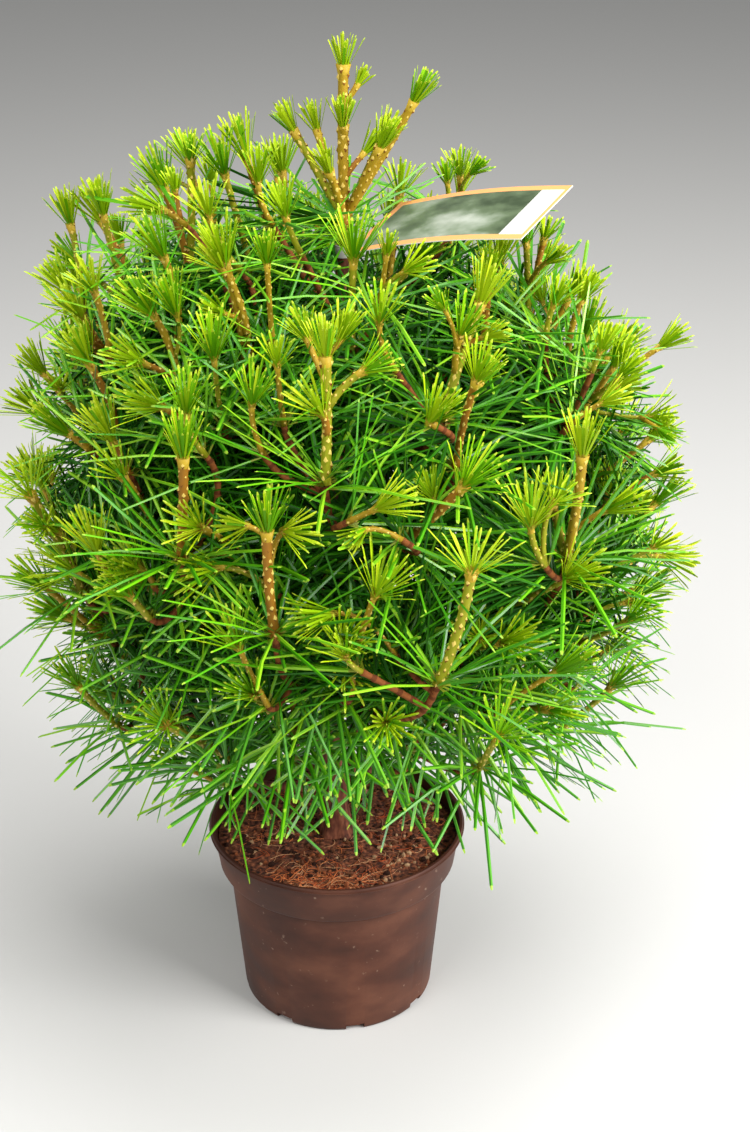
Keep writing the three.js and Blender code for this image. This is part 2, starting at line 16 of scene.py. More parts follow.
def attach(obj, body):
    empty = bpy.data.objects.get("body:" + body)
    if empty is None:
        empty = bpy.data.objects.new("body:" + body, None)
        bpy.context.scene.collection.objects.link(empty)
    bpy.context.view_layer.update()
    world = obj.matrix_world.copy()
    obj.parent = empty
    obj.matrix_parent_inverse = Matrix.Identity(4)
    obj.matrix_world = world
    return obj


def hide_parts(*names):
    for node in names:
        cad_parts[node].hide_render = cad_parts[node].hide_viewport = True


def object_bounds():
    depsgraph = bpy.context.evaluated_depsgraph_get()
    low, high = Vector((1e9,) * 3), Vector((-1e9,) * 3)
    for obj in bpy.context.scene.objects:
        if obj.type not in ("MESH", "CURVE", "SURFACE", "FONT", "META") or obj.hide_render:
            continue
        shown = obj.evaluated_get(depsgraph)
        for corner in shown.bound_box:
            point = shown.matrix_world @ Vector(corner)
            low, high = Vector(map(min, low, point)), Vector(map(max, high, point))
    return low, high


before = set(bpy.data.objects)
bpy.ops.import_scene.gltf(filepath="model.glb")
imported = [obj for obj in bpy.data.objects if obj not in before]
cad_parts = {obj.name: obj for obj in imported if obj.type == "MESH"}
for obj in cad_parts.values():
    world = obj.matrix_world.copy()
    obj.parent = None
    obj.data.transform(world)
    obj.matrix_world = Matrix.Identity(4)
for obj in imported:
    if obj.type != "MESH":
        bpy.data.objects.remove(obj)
cad_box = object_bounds()


# The camera stands 1.5 m in front, slightly to the right, and looks down from a standing eye's height.
# Places in its view are counted across and down in the picture's size, and so is its focal length.
VIEW, FOCAL, PITCH = (750, 1132), 2076, 26.06
bpy.ops.object.camera_add(location=(0.0329, -1.513, 1.146), rotation=(math.radians(90 - PITCH), 0, 0))
camera = bpy.context.object
camera.data.lens = 66.0
camera.data.sensor_width = 36
bpy.context.scene.camera = camera


# The floor is plain and pale. The light is soft, from above and from the left, with a fill from the right.
def rgba(colour):
    """A colour as a screen shows it, from 0 to 255, in the shader's terms."""
    shares = [c / 255 for c in colour]
    return (*[c / 12.92 if c <= 0.04045 else ((c + 0.055) / 1.055) ** 2.4 for c in shares], 1)


def paint(name, colour, roughness, specular, coat=0.0):
    """A plain surface of one colour."""
    material = bpy.data.materials.new(name)
    material.use_nodes = True
    sockets = material.node_tree.nodes["Principled BSDF"].inputs
    sockets["Base Color"].default_value = rgba(colour)
    sockets["Roughness"].default_value = roughness
    sockets["Specular IOR Level"].default_value = specular
    sockets["Coat Weight"].default_value = coat
    return material


bpy.ops.mesh.primitive_plane_add(size=16, location=(0, 2, 0))
floor = bpy.context.object
floor.name = "floor"
floor.data.materials.append(paint("floor_pale", (196, 195, 192), 0.85, 0.2))

LIT = Vector((0, 0, 0.4))
for name, place, size, energy in (
    ("sky_left", (-1.2, -1.7, 2.4), 1.5, 55),
    ("sky_top", (0.3, 0.1, 2.9), 1.8, 66),
    ("fill_right", (1.8, -1.1, 1.7), 1.4, 106),
):
    bpy.ops.object.light_add(type="AREA", location=place)
    light = bpy.context.object
    light.name = name
    light.data.size = size
    light.data.energy = energy
    light.rotation_euler = (LIT - Vector(place)).to_track_quat("-Z", "Y").to_euler()
world = bpy.data.worlds.new("studio")
world.use_nodes = True
world.node_tree.nodes["Background"].inputs["Color"].default_value = (0.84, 0.85, 0.86, 1)
world.node_tree.nodes["Background"].inputs["Strength"].default_value = 0.36
bpy.context.scene.world = world
bpy.context.scene.view_settings.view_transform = "Standard"


# The plant grows by the source's rule: a leaning trunk, five tiers of boughs that arch up, and on each bough
# a mass of heads. A head is a whorl of long needles with a new shoot that ends in a brush of young ones.
GROUND, BELOW_RIM, FIT_GAP, GOLDEN_ANGLE = 151.3, 13, 0.3, 137.508
TRUNK = dict(height=539, foot=11.5, tip=4.6, taper=0.85, rings=14)
FLARE = dict(size=5, height=10, roots=5, swell=0.4)
TRUNK_LEAN, TRUNK_BOW = np.array((10, -4, 0)), np.array((-9, 5, 0))
# Of each tier the foot's height, the number of boughs, the first one's heading, the rise, the length and the
# radius.
TIERS = (
    (44, 3, 176, 8, 92, 4.4),
    (84, 5, -66, 22, 128, 5.2),
    (146, 5, -96, 34, 142, 5.2),
    (216, 6, -60, 45, 142, 4.7),
    (304, 5, -76, 56, 122, 4.2),
)
BOUGH = dict(tip=3.4, rings=3, arch=14, stagger=24, swing=7, seed=5)
OUTLINE = dict(centre=292, radius=282, above=325, below=225, slant=32, sway=14, lift=55, upper=2.6, lower=2)
HEADS = dict(
    count=80, low=-50, high=72, crowding=0.78, lift=38, wander=12, unevenness=0.07, apart=60, seed=254
)
# Of each front head the heading and rise of its tip, the heading and rise that it points to, and its shoot's
# length.
FRONT = (
    (-89, 50, 73, 88, 92),
    (-48, 56, 30, 70, 88),
    (-67, 22, -19, 76, 95),
    (-111, 37, -69, 78, 87),
    (-98, 29, -103, 81, 88),
    (-64, 31, -39, 48, 81),
    (-148, 23, -152, 68, 96),
    (-46, 33, -70, 78, 91),
)
STEM = dict(
    straightness=0.5, sharpest=1.5, rings=3, bend=0.4, root=10, first=0.16, spacing=0.14, last=0.86
)
TWIG_BEND = 0.45
SHOOT, BRUSH, NEEDLE = (52, 98), (28, 38), (84, 108)
LEADER = dict(
    stem=6, shoot=116, brush=25, sides=5, swing=20, tilt=(27, 35), side=(53, 81), side_brush=27, seed=77
)
CLEAR = dict(twig=8, whorl=17, brush=44, joint=14, rim=5)
LABEL = dict(length=146, width=95, heading=-29, climb=13, tilt=9, bow=4, loop=517, loop_tall=9)
UP, RIGHT = np.array((0.0, 0, 1)), np.array((1.0, 0, 0))


def seeded(seed):
    """A repeatable stream of numbers from 0 to 1, the same as the source's."""
    state = seed & 0xFFFFFFFF

    def draw():
        nonlocal state
        state = (state + 0x6D2B79F5) & 0xFFFFFFFF
        mixed = (state ^ (state >> 15)) * (state | 1) & 0xFFFFFFFF
        mixed ^= (mixed + ((mixed ^ (mixed >> 7)) * (mixed | 61) & 0xFFFFFFFF)) & 0xFFFFFFFF
        return (mixed ^ (mixed >> 14)) / 4294967296

    return draw


def lerp(a, b, share):
    return a + (b - a) * share


def unit(v):
    return v / np.linalg.norm(v, axis=-1, keepdims=True)


def towards(heading, rise):
    a, e = math.radians(heading), math.radians(rise)
    return np.array((math.cos(e) * math.cos(a), math.cos(e) * math.sin(a), math.sin(e)))


def square_to(way):
    return unit(np.cross(way, UP if abs(way[2]) < 0.999 else RIGHT))


def tilted(way, tilt, turn):
    """A unit vector tilted away from a direction and turned round it, in degrees."""
    side = square_to(way)
    a, e = math.radians(turn), math.radians(tilt)
    outward = side * math.cos(a) + np.cross(way, side) * math.sin(a)
    return outward * math.sin(e) + way * math.cos(e)


def bezier(points, shares):
    """Points on a curve, with the directions there."""
    t = np.atleast_1d(shares)[:, None]
    rows = [np.repeat(p[None, :], len(t), axis=0) for p in points]
    while len(rows) > 2:
        rows = [lerp(a, b, t) for a, b in zip(rows, rows[1:])]
    return lerp(rows[0], rows[1], t), unit(rows[1] - rows[0])


def trunk_point(height):
    share = height / TRUNK["height"]
    return TRUNK_LEAN * share + TRUNK_BOW * math.sin(math.pi * share) + UP * height


def trunk_radius(height):
    return lerp(TRUNK["foot"], TRUNK["tip"], (height / TRUNK["height"]) ** TRUNK["taper"])


def clearance(lines, point):
    """How far a point is from the nearest of some lines, each with a radius."""
    a, b, radius = lines
    ab = b - a
    share = np.clip(((point - a) * ab).sum(1) / (ab * ab).sum(1), 0, 1)
    return (np.linalg.norm(a + ab * share[:, None] - point, axis=1) - radius).min()


def as_lines(runs):
    """Runs of points, each with a radius for the start of each piece, as one bundle of lines."""
    a = np.concatenate([points[:-1] for points, _ in runs])
    b = np.concatenate([points[1:] for points, _ in runs])
    return a, b, np.concatenate([np.broadcast_to(radii, len(points) - 1) for points, radii in runs])


card_along = towards(LABEL["heading"], LABEL["climb"])
card_level = unit(np.cross(UP, card_along))
card_across = (
    card_level * math.cos(math.radians(LABEL["tilt"]))
    + np.cross(card_along, card_level) * math.sin(math.radians(LABEL["tilt"]))
)
card_normal = np.cross(card_along, card_across)
card_edge = np.array((31.6, -4.1, 538.7))
loop_centre = trunk_point(LABEL["loop"] + LABEL["loop_tall"] / 2)


def off_label(points, room):
    """Which points are so far clear of the label's card and strap?"""
    rel = points - card_edge
    u = rel @ card_along
    bow = LABEL["bow"] * np.sin(math.pi * u / LABEL["length"])
    beside = (u < -room) | (u > LABEL["length"] + room)
    beyond = np.abs(rel @ card_across) > LABEL["width"] / 2 + room
    off_card = beside | beyond | (np.abs(rel @ card_normal - bow) > room)
    strap = card_edge - loop_centre
    share = np.clip((points - loop_centre) @ strap / (strap @ strap), 0, 1)[..., None]
    away = np.linalg.norm(loop_centre + strap * share - points, axis=-1)
    return off_card & (away > LABEL["loop_tall"] / 2 + room)


eye = np.array(camera.location) * 1000 - UP * GROUND


def label_shows(points, room=9):
    """Which points are clear of the label and of the camera's view of it?"""
    away = unit(points - eye)
    return np.all([off_label(points + away * further, room) for further in range(0, 150, 16)], axis=0)


def outline_reach(heading, rise):
    """How far the outline of the foliage reaches from its centre."""
    e, a = math.radians(rise), math.radians(heading)
    if rise > 0:
        tall, n = OUTLINE["above"] - OUTLINE["slant"] * math.cos(a), OUTLINE["upper"]
    else:
        tall, n = OUTLINE["below"] - OUTLINE["lift"] * max(0, -math.sin(a)), OUTLINE["lower"]
    wide = OUTLINE["radius"] + OUTLINE["sway"] * math.cos(a)
    return ((math.cos(e) / wide) ** n + abs(math.sin(e) / tall) ** n) ** (-1 / n)


outline_centre = trunk_point(OUTLINE["centre"])

# Boughs of a tier leave the trunk one a little above the other, and arch up to their tips.
boughs = []
draw = seeded(BOUGH["seed"])
for t, (foot, count, heading, rise, length, radius) in enumerate(TIERS):
    for i in range(count):
        start = trunk_point(foot + BOUGH["stagger"] * ((2 * i) % count) / count)
        turned = heading + 360 * i / count + BOUGH["swing"] * (2 * draw() - 1)
        way = towards(turned, rise + BOUGH["arch"] / 2)
        middle = start + towards(turned, rise - BOUGH["arch"]) * length / 2
        end = middle + way * length / 2
        name = f"{t + 1}{'abcdef'[i]}"
        boughs.append(dict(name=name, curve=(start, middle, end), end=end, way=way, radius=radius))
heights = np.arange(TRUNK["rings"] + 1) / TRUNK["rings"] * TRUNK["height"]
limbs = [(np.array([trunk_point(h) for h in heights]), np.array([trunk_radius(h) for h in heights[:-1]]))]
steps = np.arange(BOUGH["rings"] + 1) / BOUGH["rings"]
for bough in boughs:
    limbs.append((bezier(bough["curve"], steps)[0], lerp(bough["radius"], BOUGH["tip"], steps[:-1])))
limb_lines = as_lines(limbs)


def head_at(tip, way, shoot, draw):
    brush, needle = lerp(*BRUSH, draw()), lerp(*NEEDLE, draw())
    whorl = tip - way * (shoot + brush)
    return dict(tip=tip, whorl=whorl, way=way, shoot=shoot, brush=brush, needle=needle)


def tip_at(heading, rise, share):
    return outline_centre + towards(heading, rise) * outline_reach(heading, rise) * share


# The front heads come first. Other tips are dealt out evenly over the outline.
heads = []
for i, (heading, rise, toward, steep, shoot) in enumerate(FRONT):
    draw = seeded(HEADS["seed"] - 1 - i)
    heads.append(head_at(tip_at(heading, rise, 1), towards(toward, steep), shoot, draw))
    heads[-1]["stout"] = 1
low, high = math.sin(math.radians(HEADS["low"])), math.sin(math.radians(HEADS["high"]))
for i in range(HEADS["count"]):
    draw = seeded(HEADS["seed"] + 1000 * i)
    share = ((i + 0.5) / HEADS["count"]) ** HEADS["crowding"]
    rise = math.degrees(math.asin(lerp(low, high, share)))
    heading = i * GOLDEN_ANGLE + HEADS["wander"] * (2 * draw() - 1)
    tip = tip_at(heading, rise, 1 - HEADS["unevenness"] * draw())
    turned = heading + HEADS["wander"] * (2 * draw() - 1)
    way = towards(turned, rise / 2 + HEADS["lift"] + HEADS["wander"] * (2 * draw() - 1))
    head = head_at(tip, way, lerp(*SHOOT, draw()), draw)
    if all(np.linalg.norm(h["tip"] - tip) > HEADS["apart"] for h in heads[: len(FRONT)]):
        heads.append(head)

# The leader's heads stand on the trunk's tip: the leader with its whorl, and side shoots tilted away.
leader_foot = trunk_point(TRUNK["height"]) + UP * FIT_GAP
leader_whorl = leader_foot + UP * LEADER["stem"]
draw = seeded(LEADER["seed"])
leader_run = np.array((leader_foot, leader_whorl))
leader_heads = [dict(way=UP, shoot=LEADER["shoot"], brush=LEADER["brush"], run=leader_run)]
for i in range(LEADER["sides"]):
    tilt = lerp(*LEADER["tilt"], draw())
    way = tilted(UP, tilt, 360 * i / LEADER["sides"] + LEADER["swing"] * draw())
    leader_heads.append(dict(way=way, shoot=lerp(*LEADER["side"], draw()), brush=LEADER["side_brush"]))
    leader_heads[-1]["run"] = leader_whorl[None, :]
for head in leader_heads:
    tip = leader_whorl + head["way"] * (head["shoot"] + head["brush"])
    head.update(whorl=leader_whorl, needle=NEEDLE[1], tip=tip)


# Each bough's mass takes the heads whose whorls lie nearest ahead of it. The first is the end of its stem,
# and the others fork off. A head that would come too near a limb, another mass or the label is left out.
def head_run(head):
    return np.concatenate((head["run"], head["tip"][None, :])), 0.0


def turn_to(mass, head):
    return math.acos(np.clip(mass["way"] @ unit(head["whorl"] - mass["start"]), -1, 1))


def stem_curve(mass, head):
    bend = STEM["bend"] * np.linalg.norm(head["whorl"] - mass["start"])
    inner, outer = mass["start"] + mass["way"] * bend, head["whorl"] - head["way"] * bend
    return mass["start"], inner, outer, head["whorl"]


def twig_curve(fork, whorl, way):
    bend = TWIG_BEND * np.linalg.norm(whorl - fork)
    return fork, whorl - way * bend, whorl


def is_clear(mass, head, others):
    places = []
    points = head_run(head)[0]
    for a, b in zip(points, points[1:]):
        places += [(lerp(a, b, share), CLEAR["twig"]) for share in (0.25, 0.5, 0.75, 1)]
    places.append((head["whorl"], CLEAR["whorl"]))
    places.append((head["tip"] - head["way"] * head["brush"] / 2, CLEAR["brush"] / 2))
    places.append((head["tip"], CLEAR["brush"]))
    for point, room in places:
        in_joint = np.linalg.norm(point - mass["start"]) < CLEAR["joint"]
        if not in_joint and (clearance(limb_lines, point) <= room / 2 or clearance(others, point) <= room):
            return False
        if point[2] <= BELOW_RIM + CLEAR["rim"] or not off_label(point, room / 2):
            return False
    return True


masses = []
for bough in boughs:
    start, way = bough["end"] + bough["way"] * FIT_GAP, bough["way"]
    root = (np.array((start, start + way * STEM["root"])), 0.0)
    mass = dict(name=bough["name"], bough=bough, start=start, way=way)
    masses.append(dict(mass, heads=[], wanted=[], runs=[root]))
for head in heads:
    costs = []
    for mass in masses:
        far = np.linalg.norm(head["whorl"] - mass["start"])
        costs.append(far * (1 + STEM["straightness"] * turn_to(mass, head) ** 2))
    masses[int(np.argmin(costs))]["wanted"].append(head)
leader_runs = [head_run(h) for h in leader_heads]
for mass in masses:
    others = as_lines([run for m in masses if m is not mass for run in m["runs"]] + leader_runs)
    for head in sorted(mass["wanted"], key=lambda h: turn_to(mass, h)):
        if mass["heads"]:
            share = min(STEM["first"] + STEM["spacing"] * (len(mass["heads"]) - 1), STEM["last"])
            stem = mass["heads"][0]["run"]
            i = int(share * STEM["rings"])
            fork = lerp(stem[i], stem[i + 1], share * STEM["rings"] - i)
            head["run"] = np.array((fork, head["whorl"]))
            fork = bezier(mass["heads"][0]["curve"], share)[0][0]
            head["curve"] = twig_curve(fork, head["whorl"], head["way"])
        else:
            head["curve"] = stem_curve(mass, head)
            head["run"] = bezier(head["curve"], np.arange(STEM["rings"] + 1) / STEM["rings"])[0]
        if turn_to(mass, head) < STEM["sharpest"] and is_clear(mass, head, others):
            mass["heads"].append(head)
            mass["runs"].append(head_run(head))
masses = [mass for mass in masses if mass["heads"]]


# Finer growth. Every twig carries older whorls further in, dark with age and with painted shade. Many heads
# have more new shoots from the same whorl, and about half of them a small side shoot part of the way up.
HEAD = dict(shoot=(2.4, 3.3), stouter=0.7, stem=3.4, twig=2.6, twig_tip=2.7, needles=(24, 30), fuller=6)
OLDER = dict(shares=(0.2, 0.45, 0.7), count=(20, 28), length=(80, 108), scatter=0.1)
# The chances of no, one or two more shoots, in front and behind.
MORE = dict(front=(0.7, 0.3, 0), back=(0.35, 0.45, 0.2))
MORE.update(tilt=(24, 44), lift=0.2, length=(0.45, 0.85), brush=(24, 32), slimmer=0.85)
SIDE = dict(chance=0.5, share=(0.45, 0.72), tilt=(38, 58), lift=0.15)
SIDE.update(length=(14, 30), brush=(20, 27), radius=1.8)
FORKS, FORK_STRAIGHTNESS = (0.35, 0.5, 0.65, 0.8, 0.93), 0.4
rng = np.random.default_rng(11)
whorls, shoots, twigs = [], [], []


def reaches(point):
    """How far a point lies from the outline's centre, and how far the outline reaches in its direction."""
    rel = point - outline_centre
    reach = np.linalg.norm(rel)
    rise, heading = math.degrees(math.asin(rel[2] / reach)), math.degrees(math.atan2(rel[1], rel[0]))
    return reach, outline_reach(heading, rise)


def within(point, room=16):
    """Does a tip stay inside the outline, above the pot and so far clear of the label?"""
    reach, outline = reaches(point)
    inside = reach < outline * 1.001 and point[2] > BELOW_RIM + 24
    return inside and off_label(point, room) and label_shows(point)


def add_shoot(foot, way, length, brush, radius, tier, bow=0.06):
    """A new shoot with its brush. It sags a little in the middle, so its tip rises more steeply."""
    side = tilted(way, 90, rng.uniform(0, 360))
    tip = foot + way * length
    curve = (foot, lerp(foot, tip, 0.5) + (side * rng.uniform(0.3, 1) - UP * 0.6) * bow * length, tip)
    shoots.append(dict(curve=curve, length=length, brush=brush, radius=radius, tier=tier))
    return curve


def add_older(twig, shares):
    """Whorls of older, darker needles along a twig, at about the given shares of it."""
    for share in shares:
        (place,), (way,) = bezier(twig["curve"], share + rng.uniform(-OLDER["scatter"], OLDER["scatter"]))
        older = dict(at=place, way=way, count=int(rng.integers(*OLDER["count"])), tier=twig["tier"], age=1)
        whorls.append(dict(older, length=rng.uniform(*OLDER["length"])))


for mass in masses:
    tier = int(mass["name"][0])
    for n, head in enumerate(mass["heads"]):
        whorl, axis, stout = head["whorl"], head["way"], head.get("stout", 0)
        share = (head["shoot"] - SHOOT[0]) / (SHOOT[1] - SHOOT[0])
        radius = lerp(*HEAD["shoot"], share) + HEAD["stouter"] * stout
        radii = (HEAD["twig"] if n else HEAD["stem"], HEAD["twig_tip"])
        twigs.append(dict(curve=head["curve"], radii=radii, tier=tier))
        count = int(rng.integers(*HEAD["needles"])) + HEAD["fuller"] * stout
        whorls.append(dict(at=whorl, way=axis, count=count, length=head["needle"], tier=tier, age=0))
        whorls[-1]["solid"] = 1
        main = add_shoot(whorl, axis, head["shoot"], head["brush"], radius, tier)
        add_older(twigs[-1], OLDER["shares"])
        chances = MORE["back"] if head["tip"][1] > 0 else MORE["front"]
        for _ in range(int(rng.choice((0, 1, 2), p=chances))):
            way = unit(tilted(axis, rng.uniform(*MORE["tilt"]), rng.uniform(0, 360)) + UP * MORE["lift"])
            length, brush = head["shoot"] * rng.uniform(*MORE["length"]), rng.uniform(*MORE["brush"])
            if within(whorl + way * (length + brush)):
                add_shoot(whorl, way, length, brush, radius * MORE["slimmer"], tier)
        if rng.random() < SIDE["chance"]:
            (place,), (along,) = bezier(main, rng.uniform(*SIDE["share"]))
            way = unit(tilted(along, rng.uniform(*SIDE["tilt"]), rng.uniform(0, 360)) + UP * SIDE["lift"])
            length, brush = rng.uniform(*SIDE["length"]), rng.uniform(*SIDE["brush"])
            if within(place + way * (length + brush)):
                add_shoot(place, way, length, brush, SIDE["radius"], tier)

forks = []
for twig in twigs:
    forks += [(*bezier(twig["curve"], share), twig["tier"]) for share in FORKS]
fork_points = np.concatenate([point for point, _, _ in forks])
fork_ways = np.concatenate([way for _, way, _ in forks])


def nearest_fork(whorl):
    """The twig point from which a twig to a whorl bends least, with its tier and the twig's cost."""
    gaps = whorl - fork_points
    turns = np.arccos(np.clip((unit(gaps) * fork_ways).sum(1), -1, 1))
    costs = np.linalg.norm(gaps, axis=1) * (1 + FORK_STRAIGHTNESS * turns**2)
    i = int(np.argmin(costs))
    return fork_points[i], forks[i][2], costs[i]


# The shoots that stand out in front and along the outline, as they show in the camera's view: foot, knob and
# brush tip, across and down, then how many needles are round the foot, and the shoot's radius.
SEEN = (
    ((84, 300), (70, 223), (58, 184), 16, 2.9),
    ((122, 285), (103, 213), (97, 175), 16, 2.7),
    ((190, 270), (163, 186), (143, 145), 18, 3.2),
    ((198, 268), (190, 157), (187, 127), 0, 3.3),
    ((186, 226), (160, 209), (116, 199), 0, 2.4),
    ((186, 206), (175, 188), (172, 165), 0, 1.8),
    ((278, 258), (246, 158), (230, 112), 18, 2.7),
    ((256, 285), (224, 173), (210, 128), 16, 2.7),
    ((240, 270), (208, 214), (207, 174), 10, 2.4),
    ((272, 224), (258, 180), (265, 145), 0, 2.2),
    ((302, 256), (285, 214), (278, 178), 12, 2.4),
    ((178, 338), (163, 256), (132, 216), 18, 2.8),
    ((97, 350), (68, 292), (38, 260), 16, 2.6),
    ((110, 352), (93, 288), (78, 256), 12, 2.6),
    ((180, 396), (151, 312), (118, 280), 20, 3.0),
    ((250, 395), (222, 266), (194, 236), 22, 3.0),
    ((122, 446), (88, 362), (58, 326), 22, 3.0),
    ((182, 396), (140, 362), (102, 346), 0, 2.4),
    ((224, 430), (214, 357), (213, 308), 18, 2.0),
    ((171, 364), (176, 313), (150, 269), 0, 1.6),
    ((200, 446), (160, 406), (110, 396), 18, 2.4),
    ((206, 456), (186, 412), (200, 372), 14, 2.2),
    ((90, 450), (68, 433), (30, 402), 16, 2.6),
    ((130, 474), (112, 440), (84, 396), 14, 2.4),
    ((273, 345), (267, 262), (266, 226), 16, 2.2),
    ((284, 425), (277, 362), (276, 334), 16, 2.2),
    ((264, 455), (252, 402), (264, 364), 16, 2.2),
    ((325, 366), (306, 336), (296, 306), 0, 2.4),
    ((328, 372), (341, 338), (348, 304), 0, 1.9),
    ((325, 440), (321, 412), (292, 380), 0, 2.8),
    ((328, 398), (366, 370), (402, 362), 0, 2.8),
    ((272, 560), (286, 531), (310, 556), 0, 2.2),
    ((268, 545), (243, 526), (213, 541), 0, 2.0),
    ((272, 590), (214, 568), (170, 589), 18, 2.4),
    ((268, 706), (238, 646), (220, 600), 26, 2.2),
    ((396, 655), (332, 614), (290, 641), 16, 1.8),
    ((362, 672), (345, 655), (346, 630), 14, 2.0),
    ((352, 690), (376, 594), (401, 552), 20, 2.4),
    ((402, 540), (362, 532), (350, 556), 0, 2.0),
    ((348, 522), (378, 508), (416, 491), 14, 2.2),
    ((396, 372), (380, 320), (395, 286), 16, 2.2),
    ((380, 300), (387, 252), (390, 226), 12, 2.0),
    ((382, 296), (407, 270), (437, 256), 0, 1.8),
    ((455, 372), (461, 334), (482, 300), 0, 2.6),
    ((458, 356), (443, 307), (428, 288), 0, 1.7),
    ((436, 426), (430, 420), (472, 400), 0, 2.4),
    ((484, 345), (490, 274), (494, 238), 16, 2.8),
    ((530, 330), (545, 236), (553, 214), 14, 2.6),
    ((528, 320), (526, 240), (524, 214), 12, 2.6),
    ((535, 300), (549, 260), (575, 246), 0, 2.0),
    ((546, 336), (555, 302), (571, 274), 14, 2.2),
    ((568, 356), (583, 298), (602, 270), 16, 2.6),
    ((592, 372), (602, 348), (614, 321), 14, 2.0),
    ((575, 408), (661, 346), (692, 325), 24, 2.4),
    ((590, 402), (622, 374), (643, 350), 0, 2.2),
    ((572, 424), (604, 402), (636, 392), 14, 2.0),
    ((592, 410), (652, 417), (685, 411), 14, 1.8),
    ((640, 416), (660, 430), (683, 447), 0, 1.6),
    ((606, 510), (657, 473), (693, 465), 20, 2.4),
    ((545, 566), (531, 524), (543, 476), 18, 2.4),
    ((528, 588), (606, 510), (652, 498), 32, 2.4),
    ((545, 546), (556, 500), (586, 486), 0, 2.2),
    ((600, 572), (656, 546), (684, 529), 18, 2.0),
    ((608, 568), (664, 557), (702, 573), 18, 2.2),
    ((590, 612), (631, 602), (678, 598), 20, 2.0),
    ((498, 712), (556, 672), (600, 651), 30, 2.2),
    ((96, 568), (57, 531), (23, 506), 16, 2.2),
    ((114, 584), (97, 552), (84, 510), 12, 2.2),
    ((112, 602), (72, 570), (28, 553), 18, 2.4),
    ((154, 586), (138, 568), (92, 561), 12, 2.2),
    ((150, 618), (128, 594), (106, 566), 34, 3.0),
    ((226, 786), (181, 766), (148, 750), 26, 1.8),
    ((464, 216), (460, 174), (460, 143), 12, 2.6),
    ((450, 216), (447, 180), (443, 156), 0, 2.2),
    ((462, 196), (472, 172), (494, 158), 0, 1.6),
)
pitch = math.radians(PITCH)
AHEAD = np.array((0, math.cos(pitch), -math.sin(pitch)))
ABOVE = np.array((0, math.sin(pitch), math.cos(pitch)))
DEPTHS = range(1150, 1960, 6)
AT_OUTLINE, NEAR_FOOT, BARE_FOOT_NEEDLES, FULLER = 0.97, 34, 12, 1.3
LEAN = dict(rise=0.5, front=0.35, least=0.45)


def sight(place, depth):
    """The point that shows at a place in the camera's view and lies so far ahead."""
    across, up = place[0] - VIEW[0] / 2, VIEW[1] / 2 - place[1]
    return eye + (AHEAD + RIGHT * across / FOCAL + ABOVE * up / FOCAL) * depth


def fullness(point):
    """How far out a point lies, as a share of the outline's reach in its direction."""
    reach, outline = reaches(point)
    return reach / outline


def depth_at(place, share):
    """The least fullness on the sight line through a place, and how far ahead it drops under a share."""
    fills = [(fullness(sight(place, depth)), depth) for depth in DEPTHS]
    least, nearest = min(fills)
    return least, next((depth for fill, depth in fills if fill < share), nearest)


def steps_back(place, other, depth, front):
    """How much further ahead a shoot's lower point lies than its upper one."""
    across, up = np.subtract(place, other) * (1, -1) * depth / FOCAL
    size = math.hypot(across, up)
    return max(LEAN["rise"] * up + LEAN["front"] * front * size, LEAN["least"] * front * size)


def add_twig(fork, tier, whorl, way, radii, count, lengths, older):
    """A twig from a fork to a whorl of long needles, with older whorls on it."""
    twigs.append(dict(curve=twig_curve(fork, whorl, way), radii=radii, tier=tier))
    whorls.append(dict(at=whorl, way=way, count=count, length=rng.uniform(*lengths), tier=tier, age=0))
    add_older(twigs[-1], older)


for foot_seen, knob_seen, tip_seen, count, radius in SEEN:
    least, depth = depth_at(tip_seen, AT_OUTLINE)
    front = math.sqrt(max(0, 1 - least**2))
    tip = sight(tip_seen, depth)
    depth += steps_back(tip_seen, knob_seen, depth, front)
    knob = sight(knob_seen, depth)
    depth += steps_back(knob_seen, foot_seen, depth, front)
    foot = sight(foot_seen, depth)
    axis, length = unit(tip - knob), np.linalg.norm(knob - foot)
    fork, tier, _ = nearest_fork(foot)
    if count == 0:
        spots = np.concatenate([bezier(shoot["curve"], (0.02, 0.2, 0.4, 0.6, 0.8))[0] for shoot in shoots])
        gaps = np.linalg.norm(spots - foot, axis=1)
        if gaps.min() < NEAR_FOOT:
            foot = spots[int(np.argmin(gaps))]
        else:
            count = BARE_FOOT_NEEDLES
    curve = (foot, lerp(lerp(foot, knob, 0.55), knob - axis * length / 2, 0.6), knob)
    brush = min(BRUSH[1], np.linalg.norm(tip - knob))
    shoots.append(dict(curve=curve, length=length, brush=brush, radius=radius, tier=tier))
    if count:
        way = unit(curve[1] - foot)
        add_twig(fork, tier, foot, way, (2.4, 2.4), int(count * FULLER), (92, 108), (0.25, 0.5, 0.72))

# Low in front hang whorls without a shoot that shows: across, down and needles, in the same view.
HANGING = (
    (274, 652, 26),
    (439, 682, 28),
    (420, 718, 24),
    (300, 706, 28),
    (465, 704, 24),
    (352, 738, 24),
    (226, 770, 22),
    (525, 652, 26),
    (246, 692, 24),
    (385, 688, 24),
    (500, 738, 20),
    (330, 668, 24),
    (575, 690, 22),
    (180, 715, 22),
    (405, 752, 20),
    (290, 758, 20),
)
HANGING_DEEP = 0.72
for across, down, count in HANGING:
    _, depth = depth_at((across, down), HANGING_DEEP)
    place = sight((across, down), depth)
    way = unit(unit((place - outline_centre) * (1, 1, 0)) + UP * 0.1)
    fork, tier, _ = nearest_fork(place)
    add_twig(fork, tier, place, way, (2.3, 2.0), count, (88, 108), (0.6,))

